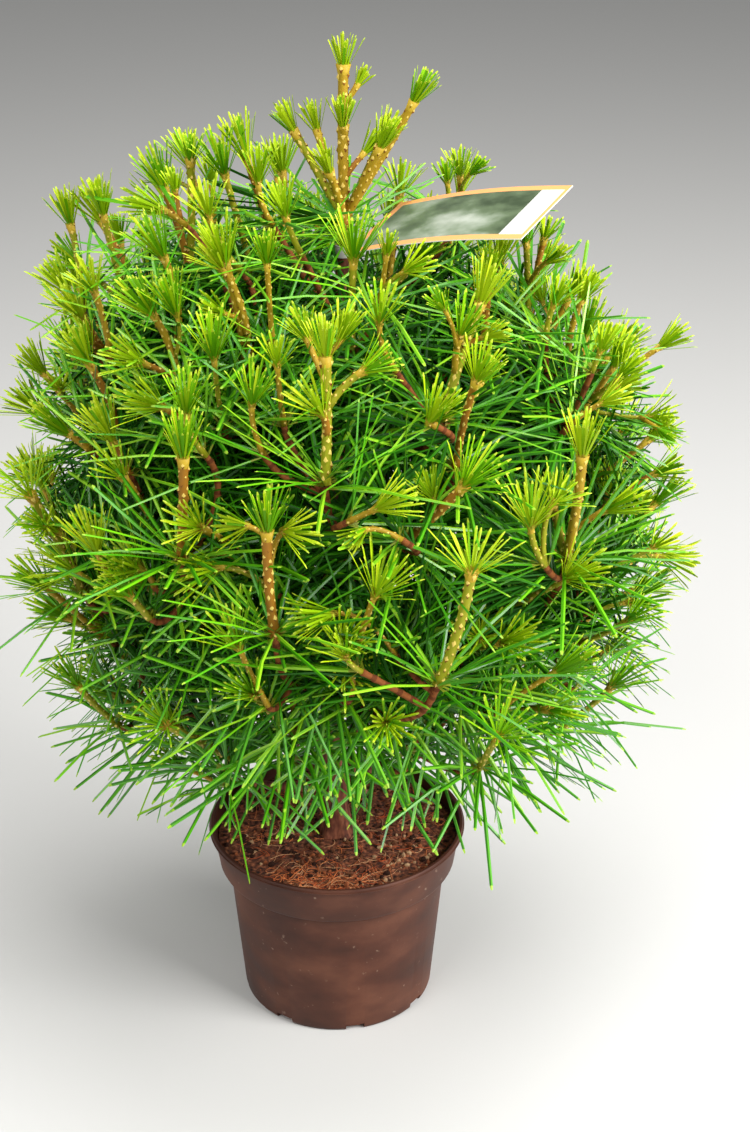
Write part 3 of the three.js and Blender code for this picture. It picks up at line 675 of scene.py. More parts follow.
# Everywhere else the finer heads follow the rule: evenly over the outline, each where it has room.
FINE = dict(
    count=430, low=-36, high=82, lift=52, wander=14, apart=36, front=54, inner=0.84, reach=170, room=13
)
FINE.update(scatter=4, outward=0.6, beside=0.4, shrink=0.92, steeper=0.42, forward=18, steepest=88)
FINE.update(shoot=(40, 88), radii=(2.0, 3.0), brush=(26, 36), needle=(78, 106), needles=(20, 27))
TWIN = dict(chance=0.3, tilt=(28, 46), lift=0.2, length=(0.4, 0.8), brush=24, radius=2.0)
tips = []
for shoot in shoots:
    _, bend, knob = shoot["curve"]
    tips.append(knob + unit(knob - bend) * shoot["brush"])
tips += [head["tip"] for head in leader_heads]
low, high = math.sin(math.radians(FINE["low"])), math.sin(math.radians(FINE["high"]))
for i in range(FINE["count"]):
    rise = math.degrees(math.asin(lerp(low, high, (i + 0.5) / FINE["count"])))
    heading = i * GOLDEN_ANGLE + rng.uniform(-FINE["scatter"], FINE["scatter"])
    tip = tip_at(heading, rise, lerp(FINE["inner"], 1, rng.random() ** FINE["outward"]))
    ahead = unit(tip - outline_centre) @ AHEAD
    if abs(ahead) < FINE["beside"] and rise > 0:
        tip = lerp(outline_centre, tip, FINE["shrink"])
    wander = rng.uniform(-FINE["wander"], FINE["wander"], 2)
    steep = rise * FINE["steeper"] + FINE["lift"] - FINE["forward"] * min(0, ahead) + wander[1]
    way = towards(heading + wander[0], min(FINE["steepest"], steep))
    shortest, longest = FINE["shoot"]
    length, brush = rng.uniform(shortest + max(0, rise) / 3, longest), rng.uniform(*FINE["brush"])
    whorl = tip - way * (length + brush)
    apart = FINE["front"] if ahead < 0.2 else FINE["apart"]
    if np.linalg.norm(np.array(tips) - tip, axis=1).min() < apart:
        continue
    if not within(tip, 26) or not within(tip - way * brush, 20) or not within(whorl):
        continue
    if clearance(limb_lines, whorl) < FINE["room"]:
        continue
    fork, tier, cost = nearest_fork(whorl)
    if cost > FINE["reach"]:
        continue
    tips.append(tip)
    count = int(rng.integers(*FINE["needles"]))
    add_twig(fork, tier, whorl, way, (2.3, 2.2), count, FINE["needle"], (0.3, 0.62))
    add_shoot(whorl, way, length, brush, lerp(*FINE["radii"], length / 84), tier)
    if rng.random() < TWIN["chance"]:
        turned = unit(tilted(way, rng.uniform(*TWIN["tilt"]), rng.uniform(0, 360)) + UP * TWIN["lift"])
        short = length * rng.uniform(*TWIN["length"])
        if within(whorl + turned * (short + TWIN["brush"])):
            add_shoot(whorl, turned, short, TWIN["brush"], TWIN["radius"], tier)

# The leader's foot has two full whorls and a fan of long needles that leans out to the left. Its shoot
# carries small ones: share of the stalk, heading and tilt, length and brush.
LEADER_SIDES = (
    (0.55, -90, 22, 13, 27),
    (0.76, 6, 36, 20, 17),
    (0.04, -6, 30, 104, 28),
    (0.3, 15, 40, 26, 25),
    (0.12, 172, 19, 62, 24),
)
leader_stem = (leader_foot - UP * 6, leader_foot, leader_whorl + UP * 2)
twigs.append(dict(curve=leader_stem, radii=(4.8, 4.6), tier=6))
full = dict(way=unit(UP - RIGHT * 0.2), count=36, length=NEEDLE[1], tier=6, age=0)
fan = dict(way=unit(UP * 0.45 - RIGHT - AHEAD * 0.35), count=16, length=114, tier=6, age=0, fan=(2, 26))
whorls += [dict(form, at=leader_whorl - UP * lower) for form, lower in ((full, 2), (full, 14), (fan, 4))]
stalks = []
for head in leader_heads:
    foot, length = head["whorl"] - head["way"] * 4, head["shoot"] + 4
    stalks.append(add_shoot(foot, head["way"], length, head["brush"], 3.4 if stalks else 4.3, 6, 0.04))
for share, heading, tilt, length, brush in LEADER_SIDES:
    (place,), _ = bezier(stalks[0], share)
    add_shoot(place, tilted(UP, tilt, heading - 90), length, brush, 2.0 + length / 80, 6)


# Long needles are two grown together: flat, three millimetres wide, with a groove along the middle. They
# spread from each whorl like the spokes of an umbrella and sag a little. The older whorls inside are darker:
# their own deeper green, darkened further as painted shade inside the foliage.
class Heap:
    """Many small things gathered into one piece."""

    def __init__(self):
        self.vertices, self.faces, self.paints, self.count = [], [], [], 0

    def add(self, vertices, faces, paints, caps=(), cap_paints=0):
        """Vertices (n, 3) in millimetres, faces and caps as rows of their numbers, and a paint for each."""
        for rows, numbers in ((faces, paints), (caps, cap_paints)):
            if len(rows):
                self.faces += (np.asarray(rows) + self.count).tolist()
                self.paints.append(np.broadcast_to(numbers, len(rows)))
        self.vertices.append(vertices)
        self.count += len(vertices)

    def make(self, name, materials, smooth=False, lift=GROUND):
        mesh = bpy.data.meshes.new(name)
        mesh.from_pydata(((np.concatenate(self.vertices) + UP * lift) / 1000).tolist(), [], self.faces)
        for material in materials:
            mesh.materials.append(material)
        mesh.polygons.foreach_set("material_index", np.concatenate(self.paints).astype(np.int32))
        mesh.polygons.foreach_set("use_smooth", np.full(len(self.faces), smooth))
        mesh.update()
        piece = bpy.data.objects.new(name, mesh)
        bpy.context.collection.objects.link(piece)
        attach(piece, "root")
        return piece


def tube_faces(rings, corners):
    """The quads between rings of points that follow each other."""
    first = (np.arange(rings - 1) * corners)[:, None]
    here, after = np.arange(corners), (np.arange(corners) + 1) % corners
    return np.stack((first + here, first + after, first + after + corners, first + here + corners), -1)


def add_rods(heap, centres, ways, sides, widths, thicks, profile, paints):
    """Rods with one cross-section: centre lines (n, s, 3) with the direction and the side there, half widths
    and half thicknesses (n, s), and a paint for every face (n, s - 1, k)."""
    n, s = centres.shape[:2]
    k = len(profile)
    across = unit(sides - ways * (sides * ways).sum(-1, keepdims=True))
    normals = np.cross(ways, across)
    u, v = (widths[..., None] * profile[:, 0])[..., None], (thicks[..., None] * profile[:, 1])[..., None]
    vertices = (centres[:, :, None] + (across[:, :, None] * u + normals[:, :, None] * v)).reshape(-1, 3)
    rods, ring = (np.arange(n) * s * k)[:, None], np.arange(k)
    faces = (rods[..., None, None] + tube_faces(s, k)).reshape(-1, 4)
    caps = np.concatenate((rods + ring[::-1], rods + (s - 1) * k + ring))
    paints = np.broadcast_to(paints, (n, s - 1, k))
    heap.add(vertices, faces, paints.reshape(-1), caps, np.concatenate((paints[:, 0, 0], paints[:, -1, 0])))


def lit_and_shaded_tones(name, face, half, roughness, specular):
    """A needle's own colour, and a darker tone as painted shade on one side of its groove and below."""
    return [paint(name, face, roughness, specular), paint(f"{name}_painted_shade", half, roughness, specular)]


# Each green comes with a darker tone: painted shade for one side of the groove and the underside.
needle_paints = [
    *lit_and_shaded_tones("needle_green_1", (70, 146, 8), (42, 106, 4), 0.3, 0.36),
    *lit_and_shaded_tones("needle_green_2", (98, 168, 14), (62, 130, 7), 0.3, 0.36),
    *lit_and_shaded_tones("needle_green_3", (134, 188, 30), (94, 152, 16), 0.3, 0.36),
    # The dark greens are the older needles' own deeper green, darkened further as painted shade inside the
    # foliage.
    *lit_and_shaded_tones("needle_old_and_shaded_1", (30, 92, 2), (18, 62, 1), 0.45, 0.15),
    *lit_and_shaded_tones("needle_old_and_shaded_2", (52, 122, 5), (32, 86, 3), 0.45, 0.15),
    paint("needle_tip", (140, 178, 44), 0.45, 0.3),
    paint("needle_foot", (124, 136, 30), 0.5, 0.3),
]
OLD_AND_SHADED_PAINT, NEEDLE_TIP, NEEDLE_FOOT = 6, 10, 11
NEEDLE_WIDTH, NEEDLE_LENGTH = (2.6, 3.3), (0.86, 1.06)
# Whorls lower than 240 mm mostly take the darkest green, as painted shade low under the foliage.
LOW_SHADED_GREENS, GREENS, LOW_WHORL = (0.65, 0.3, 0.05), (0.35, 0.4, 0.25), 240
# The groove is the fold between a needle's two sides.
needle_profile = np.array(((1, 0), (0, 0.5), (-1, 0)))
fresh_form = (np.array((0, 0.08, 0.5, 0.97, 1)), np.array((0.5, 0.76, 1, 0.82, 0.42)))
older_form = (np.array((0, 0.5, 1)), np.array((0.7, 1, 0.6)))
SPREAD = dict(inner=(42, 60), outer=(58, 84), more=8, steepest=(0.97, 0.45), flatter=0.5, top=(430, 540))
SAG = dict(heavy=(0.34, 0.13), heights=(0, 250), uneven=(0.3, 1.7), stray=3)
TWIST, DARK_TONES = 0.16, 2
OLD_TIPS = dict(above=40, full=(0.88, 0.76), heights=(400, 520))
FRESH_TIPS = dict(above=40, few=0.08, full=(1.3, 0.97), heights=(120, 220), front=-0.45, free_below=225)
# A needle in front of the trunk counts as lower, by this share of how far in front it is.
FALL = 0.42
POT = dict(height=164, rim=110, lip=4, wall_top=93.5, foot=82, wall=1.8)
COLLAR = dict(height=37, top=107, foot=100.5)


def course(feet, ways, lengths, sags, shares):
    """Rows of points on needles, at some shares of their length."""
    t = np.array(shares)[None, :, None]
    return feet[:, None] + ways[:, None] * lengths[:, None, None] * t + sags[:, None] * t**2


def needles_of(heap, feet, ways, axes, lengths, widths, sags, tones, form, tip, foot):
    """Needles from their feet along their ways, with the grooved side to the axis. They sag to their tips."""
    shares, widths_along = form
    t = shares[None, :, None]
    centres = feet[:, None] + ways[:, None] * (lengths[:, None, None] * t) + sags[:, None] * t**2
    along = unit(ways[:, None] * lengths[:, None, None] + 2 * sags[:, None] * t)
    sides = np.broadcast_to(unit(np.cross(axes, ways))[:, None], centres.shape)
    half = widths[:, None] / 2 * widths_along[None, :]
    paints = np.broadcast_to(tones[:, None, None], (len(feet), len(shares) - 1, len(needle_profile))).copy()
    # One side of the groove and the underside take the darker tone, as painted shade.
    paints[:, :, 1:] += 1
    if form is not older_form:
        paints[:, 0], paints[:, -1] = foot, tip
    add_rods(heap, centres, along, sides, half, half, needle_profile, paints)


def fits(points):
    """Which needles, given as rows of points, keep to the solids' box and clear of label and pot?"""
    low, high = np.array(cad_box[0]) * 1000 - UP * GROUND, np.array(cad_box[1]) * 1000 - UP * GROUND
    inside = ((points > low - 4) & (points < high + 4)).all(-1)
    out = np.hypot(points[..., 0], points[..., 1])
    z = points[..., 2]
    beside = np.where(out > POT["rim"] + 8, z > -30, z > BELOW_RIM + 4)
    clear = np.where(out < POT["rim"] - 14, z > 5, beside)
    return (inside & clear & off_label(points, 3)).all(-1)


def between(z, low, high):
    """How far a height lies from a low one to a high one, from 0 to 1."""
    return np.clip((z - low) / (high - low), 0, 1)


def grown(whorl, points):
    """Which needles of a whorl, given as rows of points, stay? Older ones keep inside the foliage, and fresh
    ones near its outline. Low in front they hang free, and so do those of whorls that are solids too."""
    tips = points[:, -1]
    kept = fits(points) & label_shows(points, 4).all(-1)
    full = np.array([fullness(tip) for tip in tips])
    height = tips[:, 2] + FALL * np.minimum(0, tips[:, 1])
    rule = OLD_TIPS if whorl["age"] else FRESH_TIPS
    near = full < lerp(*rule["full"], between(tips[:, 2], *rule["heights"]))
    if whorl["age"]:
        return kept & (height > rule["above"]) & near
    in_front = unit(tips - outline_centre) @ AHEAD < rule["front"]
    free = in_front & ((tips[:, 2] < rule["free_below"]) | ("solid" in whorl))
    return kept & (rng.random(len(kept)) < np.clip(height / rule["above"], rule["few"], 1)) & (free | near)


def spread(whorl):
    """Foot, direction, length and sag of each needle of a whorl."""
    n = whorl["count"]
    turns = 360 * (np.arange(n) + rng.uniform(-0.25, 0.25, n)) / n + rng.uniform(0, 360)
    top = between(whorl["at"][2], *SPREAD["top"])
    inner, outer = rng.uniform(*SPREAD["inner"], n), rng.uniform(*SPREAD["outer"], n)
    tilts = np.where(np.arange(n) % 2 == 0, inner, outer) + SPREAD["more"] * top
    if "fan" in whorl:
        tilts = rng.uniform(*whorl["fan"], n)
    ways = np.array([tilted(whorl["way"], tilt, turn) for tilt, turn in zip(tilts, turns)])
    too_steep = ways[:, 2:] > lerp(*SPREAD["steepest"], top)
    ways = unit(np.where(too_steep, ways * (1, 1, SPREAD["flatter"]), ways))
    feet = whorl["at"] + ways * 1.5 + whorl["way"] * rng.uniform(-4, 3, n)[:, None]
    lengths = whorl["length"] * rng.uniform(*NEEDLE_LENGTH, n)
    level = np.sqrt(1 - ways[:, 2] ** 2)
    heavy = lerp(*SAG["heavy"], between(whorl["at"][2], *SAG["heights"]))
    falls = -UP * (level * lengths * heavy * rng.uniform(*SAG["uneven"], n))[:, None]
    return feet, ways, lengths, falls + rng.normal(0, SAG["stray"], (n, 3))


for tier in range(1, 7):
    heap = Heap()
    for whorl in (w for w in whorls if w["tier"] == tier):
        feet, ways, lengths, sags = spread(whorl)
        kept = grown(whorl, course(feet, ways, lengths, sags, (0.35, 0.6, 0.8, 1)))
        n = int(kept.sum())
        if n:
            axes = np.repeat(whorl["way"][None, :], n, axis=0) + rng.normal(0, TWIST, (n, 3))
            # Low whorls mostly take the darkest green, as painted shade.
            tones = 2 * rng.choice(3, n, p=LOW_SHADED_GREENS if whorl["at"][2] < LOW_WHORL else GREENS)
            # Older whorls and the leader's fan take the dark greens: the older needles' deeper green,
            # darkened further as painted shade.
            if whorl["age"] or "fan" in whorl:
                tones = OLD_AND_SHADED_PAINT + 2 * rng.integers(0, DARK_TONES, n)
            flats = rng.uniform(*NEEDLE_WIDTH) * rng.uniform(0.9, 1.1, n)
            grown_on = feet[kept], ways[kept], axes, lengths[kept], flats, sags[kept]
            form = older_form if whorl["age"] else fresh_form
            needles_of(heap, *grown_on, tones, form, NEEDLE_TIP, NEEDLE_FOOT)
    name = f"long_needles_{tier}" if tier < 6 else "long_needles_leader"
    piece = heap.make(name, needle_paints)
    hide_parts(*[f"foliage_{m['name']}" for m in masses if m["name"][0] == str(tier)])
    if tier == 6:
        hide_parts("foliage_leader")


# Brushes of young needles are soft and lime green with pale tips. They are packed tight on the shoot's knob
# and open like a shaving brush, some wide and some narrow.
# Each lime comes with a darker tone: painted shade for one side of the groove and the underside.
brush_paints = [
    *lit_and_shaded_tones("young_lime_1", (170, 198, 16), (126, 162, 6), 0.45, 0.15),
    *lit_and_shaded_tones("young_lime_2", (132, 186, 10), (88, 144, 4), 0.45, 0.15),
    *lit_and_shaded_tones("young_lime_3", (186, 202, 32), (146, 172, 14), 0.45, 0.15),
    paint("young_tip", (174, 194, 48), 0.45, 0.2),
    paint("young_foot", (160, 150, 32), 0.5, 0.3),
]
YOUNG_TIP, YOUNG_FOOT = 6, 7
# Brushes lower than 280 mm mostly take the deeper lime and never the palest, as painted shade low under the
# foliage.
LOW_SHADED_LIMES, LIMES, LOW_BRUSH, HIGH_BRUSH = (0.2, 0.8, 0), (0.45, 0.25, 0.3), 280, 400
OPENINGS, HIGH_OPENINGS, LEADER_OPENING = (30, 42, 60), (26, 36), 20
YOUNG_WIDTH, YOUNG_LENGTH, YOUNG_COUNT = (1.6, 2.1), (0.78, 1.08), (22, 34)
young_form = (np.array((0, 0.2, 0.93, 1)), np.array((0.6, 0.8, 1, 0.5)))
for tier in range(1, 7):
    heap = Heap()
    for shoot in (s for s in shoots if s["tier"] == tier):
        (end,), (axis,) = bezier(shoot["curve"], 1.0)
        n = int(lerp(*YOUNG_COUNT, (shoot["brush"] - 20) / 18))
        wide = rng.choice(OPENINGS, p=(0.4, 0.4, 0.2)) if end[2] < HIGH_BRUSH else rng.choice(HIGH_OPENINGS)
        opening = (LEADER_OPENING if tier == 6 else wide) + rng.uniform(-4, 4)
        rim = np.sqrt((np.arange(n) + 0.5) / n)
        turns = GOLDEN_ANGLE * np.arange(n)
        tilts = opening * rim * rng.uniform(0.85, 1.12, n)
        ways = np.array([tilted(axis, tilt * 0.62, turn) for tilt, turn in zip(tilts, turns)])
        outward = np.array([tilted(axis, 90, turn) for turn in turns])
        lengths = shoot["brush"] * rng.uniform(*YOUNG_LENGTH, n)
        feet = end + outward * (shoot["radius"] * 0.75 * rim)[:, None] - axis * (2 + 3.5 * rim)[:, None]
        sags = outward * (lengths * np.sin(np.radians(tilts * 0.5)))[:, None] + rng.normal(0, 0.8, (n, 3))
        # Low brushes mostly take the deeper lime, as painted shade.
        limes = LOW_SHADED_LIMES if end[2] < LOW_BRUSH else LIMES
        tones = 2 * np.where(rng.random(n) < 0.65, rng.choice(3, p=limes), rng.choice(3, n, p=limes))
        kept = fits(course(feet, ways, lengths, sags, (0.5, 1)))
        if kept.any():
            axes = np.repeat(axis[None, :], int(kept.sum()), axis=0)
            flats = rng.uniform(*YOUNG_WIDTH, int(kept.sum()))
            grown_on = feet[kept], ways[kept], axes, lengths[kept], flats, sags[kept]
            needles_of(heap, *grown_on, tones[kept], young_form, YOUNG_TIP, YOUNG_FOOT)
    name = f"young_needles_{tier}" if tier < 6 else "young_needles_leader"
    heap.make(name, brush_paints)


# New shoots are straight scaly stalks, olive to ochre. Pale scale points stand in a spiral on them, and they
# end in a knob under the brush.
shoot_paints = [
    paint("shoot_olive", (136, 136, 22), 0.5, 0.25),
    paint("shoot_ochre", (156, 126, 26), 0.5, 0.25),
    paint("shoot_amber", (146, 98, 24), 0.55, 0.25),
    paint("shoot_knob", (168, 140, 34), 0.55, 0.25),
    paint("scale_pale", (220, 190, 96), 0.55, 0.3),
    # Brown on the scales' lower faces: partly their own brown, partly painted shade under each scale.
    paint("scale_brown_and_shade", (120, 70, 22), 0.6, 0.25),
]
KNOB, PALE, BROWN_AND_SHADE, SHOOT_CORNERS = 3, 4, 5, 8
STALKS, HIGH_STALKS, HIGH_STALK = (0.6, 0.35, 0.05), (0.35, 0.4, 0.25), 360
SCALE_EVERY, SCALE_SIZE = 1.8, (0.24, 0.46)


def round_profile(k):
    a = 2 * math.pi * np.arange(k) / k
    return np.stack((np.cos(a), np.sin(a)), axis=-1)


def add_round_rod(heap, points, ways, side, radii, paints):
    """One round rod, with a paint for every face (1, s - 1, k)."""
    sides, profile = np.broadcast_to(side, (1, len(points), 3)), round_profile(paints.shape[2])
    add_rods(heap, points[None], ways[None], sides, radii[None], radii[None], profile, paints)


heap = Heap()
for shoot in shoots:
    s = max(5, int(shoot["length"] / 7)) + 1
    shares = np.linspace(0, 1, s)
    points, ways = bezier(shoot["curve"], shares)
    foot, knob = np.exp(-shares * shoot["length"] / 5), np.exp(-(1 - shares) * shoot["length"] / 4)
    radii = shoot["radius"] * (0.9 + 0.25 * foot + 0.38 * knob) * rng.uniform(0.95, 1.05, s)
    tone = int(rng.choice(3, p=HIGH_STALKS if points[0, 2] > HIGH_STALK else STALKS))
    paints = np.full((1, s - 1, SHOOT_CORNERS), tone)
    paints[:, -1] = KNOB
    add_round_rod(heap, points, ways, square_to(ways[0]), radii, paints)
    n = int(shoot["length"] / SCALE_EVERY)
    spots = (np.arange(n) + 0.5) / n
    at, along = bezier(shoot["curve"], spots)
    radius = np.interp(spots, shares, radii)
    out = np.array([tilted(w, 90, GOLDEN_ANGLE * i) for i, w in enumerate(along)])
    side = np.cross(along, out)
    size = shoot["radius"] * rng.uniform(*SCALE_SIZE, n)[:, None]
    skin = at + out * (radius * 0.9)[:, None]
    reach = along * size * 1.9
    peak = skin + out * (size * 0.6 + radius[:, None] * 0.12) - along * size * 0.5
    edge = (skin - side * size, skin - reach * 1.2, skin + side * size, skin + reach)
    scale = np.stack((*edge, peak), axis=1)
    base = 5 * np.arange(n)[:, None]
    faces = np.concatenate([base + np.array(((k + 1) % 4, k, 4)) for k in range(4)])
    # Each scale's faces towards the tip are mostly pale, and those towards the foot mostly brown: partly the
    # scales' own brown, partly painted shade under them.
    upper = rng.choice((PALE, tone), n, p=(0.85, 0.15))
    lower = rng.choice((BROWN_AND_SHADE, PALE, tone), n, p=(0.6, 0.25, 0.15))
    heap.add(scale.reshape(-1, 3), faces, np.concatenate((lower, lower, upper, upper)))
heap.make("new_shoots", shoot_paints, smooth=True)


# Older twigs are bare and reddish brown, with a darker raised ring of leaf scars every few millimetres. They
# run from a bough's end, or from another twig, to a whorl of long needles.
twig_paints = [
    paint("twig_red_brown", (128, 72, 32), 0.75, 0.2),
    paint("twig_scar", (96, 50, 24), 0.85, 0.15),
]
SCAR_EVERY, TWIG_CORNERS = 3, 7
heap = Heap()
for twig in twigs:
    length = sum(np.linalg.norm(b - a) for a, b in zip(twig["curve"], twig["curve"][1:]))
    s = max(5, int(length / 4)) + 1
    shares = np.linspace(0, 1, s)
    points, ways = bezier(twig["curve"], shares)
    scars = np.arange(s) % SCAR_EVERY == 0
    radii = lerp(twig["radii"][0], twig["radii"][1], shares) * np.where(scars, 1.12, 0.96)
    radii = radii * rng.uniform(0.95, 1.05, s)
    paints = scars[:-1].astype(int)[None, :, None] * np.ones((1, 1, TWIG_CORNERS), int)
    add_round_rod(heap, points, ways, square_to(ways[0]), radii, paints)
heap.make("twigs", twig_paints, smooth=True)


# The trunk and boughs have thin reddish bark that splits into upright flakes. The flakes' relief is in the
# mesh, with finer fissures in the surface, and each bough has a collar where it leaves the trunk.
class Pattern:
    """A surface with patterns that lie on the piece's own coordinates."""

    def __init__(self, name, roughness):
        self.material = bpy.data.materials.new(name)
        self.material.use_nodes = True
        self.nodes, self.links = self.material.node_tree.nodes, self.material.node_tree.links
        self.sockets = self.nodes["Principled BSDF"].inputs
        self.sockets["Roughness"].default_value = roughness

    def cloud(self, scale, stretch=(1, 1, 1), detail=4.0):
        place, mapping = self.nodes.new("ShaderNodeTexCoord"), self.nodes.new("ShaderNodeMapping")
        texture = self.nodes.new("ShaderNodeTexNoise")
        mapping.inputs["Scale"].default_value = stretch
        texture.inputs["Scale"].default_value = scale
        texture.inputs["Detail"].default_value = detail
        self.links.new(place.outputs["Object"], mapping.inputs["Vector"])
        self.links.new(mapping.outputs["Vector"], texture.inputs["Vector"])
        return texture.outputs["Fac"]

    def ramp(self, source, stops):
        """Colours along a pattern, from stops with a place and a colour each."""
        node = self.nodes.new("ShaderNodeValToRGB")
        elements = node.color_ramp.elements
        elements.remove(elements[0])
        for i, (place, colour) in enumerate(stops):
            stop = elements.new(place) if i else elements[0]
            stop.position, stop.color = place, rgba(colour)
        self.links.new(source, node.inputs["Fac"])
        return node.outputs["Color"]

    def colour(self, source):
        self.links.new(source, self.sockets["Base Color"])

    def bump(self, height, strength, distance):
        node = self.nodes.new("ShaderNodeBump")
        node.inputs["Strength"].default_value = strength
        node.inputs["Distance"].default_value = distance
        self.links.new(height, node.inputs["Height"])
        self.links.new(node.outputs["Normal"], self.sockets["Normal"])


bark = Pattern("bark_flaking", 0.85)
fissures = bark.cloud(240, (1, 1, 0.22), 6)
reds = ((0.3, (52, 26, 18)), (0.46, (104, 54, 36)), (0.58, (138, 78, 52)), (0.75, (168, 112, 78)))
bark.colour(bark.ramp(fissures, reds))
bark.bump(fissures, 0.6, 0.0012)


def flakes(points, amount):
    """How far each point of the bark stands out."""
    places = [Vector((x / 5, y / 5, z / 22)) for x, y, z in points]
    return np.array([amount * noise.fractal(place, 0.7, 2.2, 4) for place in places])


def add_limb(heap, points, ways, radii, corners, amount, swell=1):
    """One limb with the bark's relief."""
    s = len(points)
    profile = round_profile(corners)
    across = [square_to(ways[0])]
    for way in ways[1:]:
        across.append(unit(across[-1] - way * (across[-1] @ way)))
    across = np.array(across)
    normals = np.cross(ways, across)
    out = across[:, None] * profile[None, :, :1] + normals[:, None] * profile[None, :, 1:]
    rings = points[:, None] + out * radii[:, None, None] * swell
    vertices = (rings + out * flakes(rings.reshape(-1, 3), amount).reshape(s, corners, 1)).reshape(-1, 3)
    ring = np.arange(corners)
    heap.add(vertices, tube_faces(s, corners).reshape(-1, 4), 0, (ring[::-1], ring + (s - 1) * corners))


TRUNK_CORNERS, TRUNK_FLAKES, BOUGH_CORNERS, BOUGH_RINGS, BOUGH_FLAKES = 40, 0.9, 12, 34, 0.45
heap = Heap()
levels = np.concatenate((np.linspace(0, 24, 16), np.linspace(27, TRUNK["height"], 150)))
points = np.array([trunk_point(h) for h in levels])
ways = unit(np.gradient(points, axis=0))
radii = np.array([trunk_radius(h) for h in levels])
angles = 2 * math.pi * np.arange(TRUNK_CORNERS) / TRUNK_CORNERS
roots = 1 + FLARE["swell"] * np.cos(FLARE["roots"] * angles)
flare = FLARE["size"] * np.exp(-levels / FLARE["height"])
swell = (1 + flare[:, None] * roots[None, :] / radii[:, None])[..., None]
add_limb(heap, points, ways, radii - 0.3, TRUNK_CORNERS, TRUNK_FLAKES, swell)
trunk = heap.make("trunk_bark", [bark.material], smooth=True)
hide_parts("trunk")

heap = Heap()
shares = np.linspace(0, 1, BOUGH_RINGS)
collar = 1 + 0.45 * np.exp(-shares * 14)
for mass in masses:
    points, ways = bezier(mass["bough"]["curve"], shares)
    radii = lerp(mass["bough"]["radius"], BOUGH["tip"], shares) * collar - 0.1
    add_limb(heap, points, ways, radii, BOUGH_CORNERS, BOUGH_FLAKES)
piece = heap.make("bough_bark", [bark.material], smooth=True)
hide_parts(*[f"bough_{m['name']}" for m in masses])


# The pot is a thin brown moulding with a double lip, a flared collar over a ledge and drain slots round its
# foot. It is cloudy with dust and lightly scuffed.
plastic = Pattern("pot_brown_plastic", 0.5)
plastic.sockets["Specular IOR Level"].default_value = 0.3
cloud, dust = plastic.cloud(16, (1, 1, 1.8), 7), plastic.cloud(150, detail=3)
browns = plastic.ramp(cloud, ((0.35, (60, 29, 17)), (0.5, (76, 40, 26)), (0.68, (98, 58, 41))))
specks = plastic.nodes.new("ShaderNodeValToRGB")
specks.color_ramp.elements[0].position, specks.color_ramp.elements[1].position = 0.68, 0.82
plastic.links.new(dust, specks.inputs["Fac"])
mix = plastic.nodes.new("ShaderNodeMix")
mix.data_type = "RGBA"
plastic.links.new(browns, mix.inputs["A"])
mix.inputs["B"].default_value = rgba((148, 122, 104))
plastic.links.new(specks.outputs["Color"], mix.inputs["Factor"])
plastic.colour(mix.outputs["Result"])
rough = plastic.nodes.new("ShaderNodeMapRange")
rough.inputs["To Min"].default_value, rough.inputs["To Max"].default_value = 0.38, 0.72
plastic.links.new(cloud, rough.inputs["Value"])
plastic.links.new(rough.outputs["Result"], plastic.sockets["Roughness"])
plastic.bump(dust, 0.25, 0.0004)

ledge, lip_foot, wall = POT["height"] - COLLAR["height"], POT["height"] - POT["lip"], POT["wall"]
rim, collar_top, collar_foot, wall_top = POT["rim"], COLLAR["top"], COLLAR["foot"], POT["wall_top"]
outside = (
    (0, 0),
    (78, 0),
    (80.6, 0.5),
    (81.7, 1.8),
    (82.4, 4),
    (wall_top - 0.4, ledge - 5),
    (wall_top, ledge - 1.2),
    (wall_top + 0.7, ledge - 0.2),
    (collar_foot - 0.7, ledge),
    (collar_foot, ledge + 0.6),
    (collar_foot + 1.2, ledge + 3),
    (collar_top - 0.6, lip_foot - 1.2),
    (collar_top + 0.6, lip_foot - 0.1),
    (rim - 0.9, lip_foot + 0.2),
    (rim, lip_foot + 0.9),
    (rim, lip_foot + 1.7),
    (rim - 0.9, lip_foot + 2.2),
    (rim - 1.1, POT["height"] - 0.8),
    (rim - 1.8, POT["height"]),
)
inside = (
    (collar_top - wall + 0.9, POT["height"]),
    (collar_top - wall, POT["height"] - 0.9),
    (collar_top - wall, lip_foot),
    (collar_foot - wall, ledge + wall),
    (wall_top - wall, ledge + wall),
    (POT["foot"] - wall + 0.3, 3),
    (0, 3),
)
bpy.ops.mesh.primitive_circle_add(vertices=3)
pot = bpy.context.object
pot.name = "pot_moulding"
shape = bmesh.new()
corners = [shape.verts.new((r / 1000, 0, z / 1000)) for r, z in outside + inside]
for a, b in zip(corners, corners[1:]):
    shape.edges.new((a, b))
shape.to_mesh(pot.data)
shape.free()
spin = pot.modifiers.new("spin", "SCREW")
spin.steps = spin.render_steps = 144
spin.use_merge_vertices = True
spin.merge_threshold = 1e-5
bpy.ops.object.modifier_apply(modifier="spin")
SLOTS, SLOT_WIDTH, SLOT_HEIGHT, SLOT_DEPTH, SLOT_TURN = 8, 16, 6, 12, 11.25
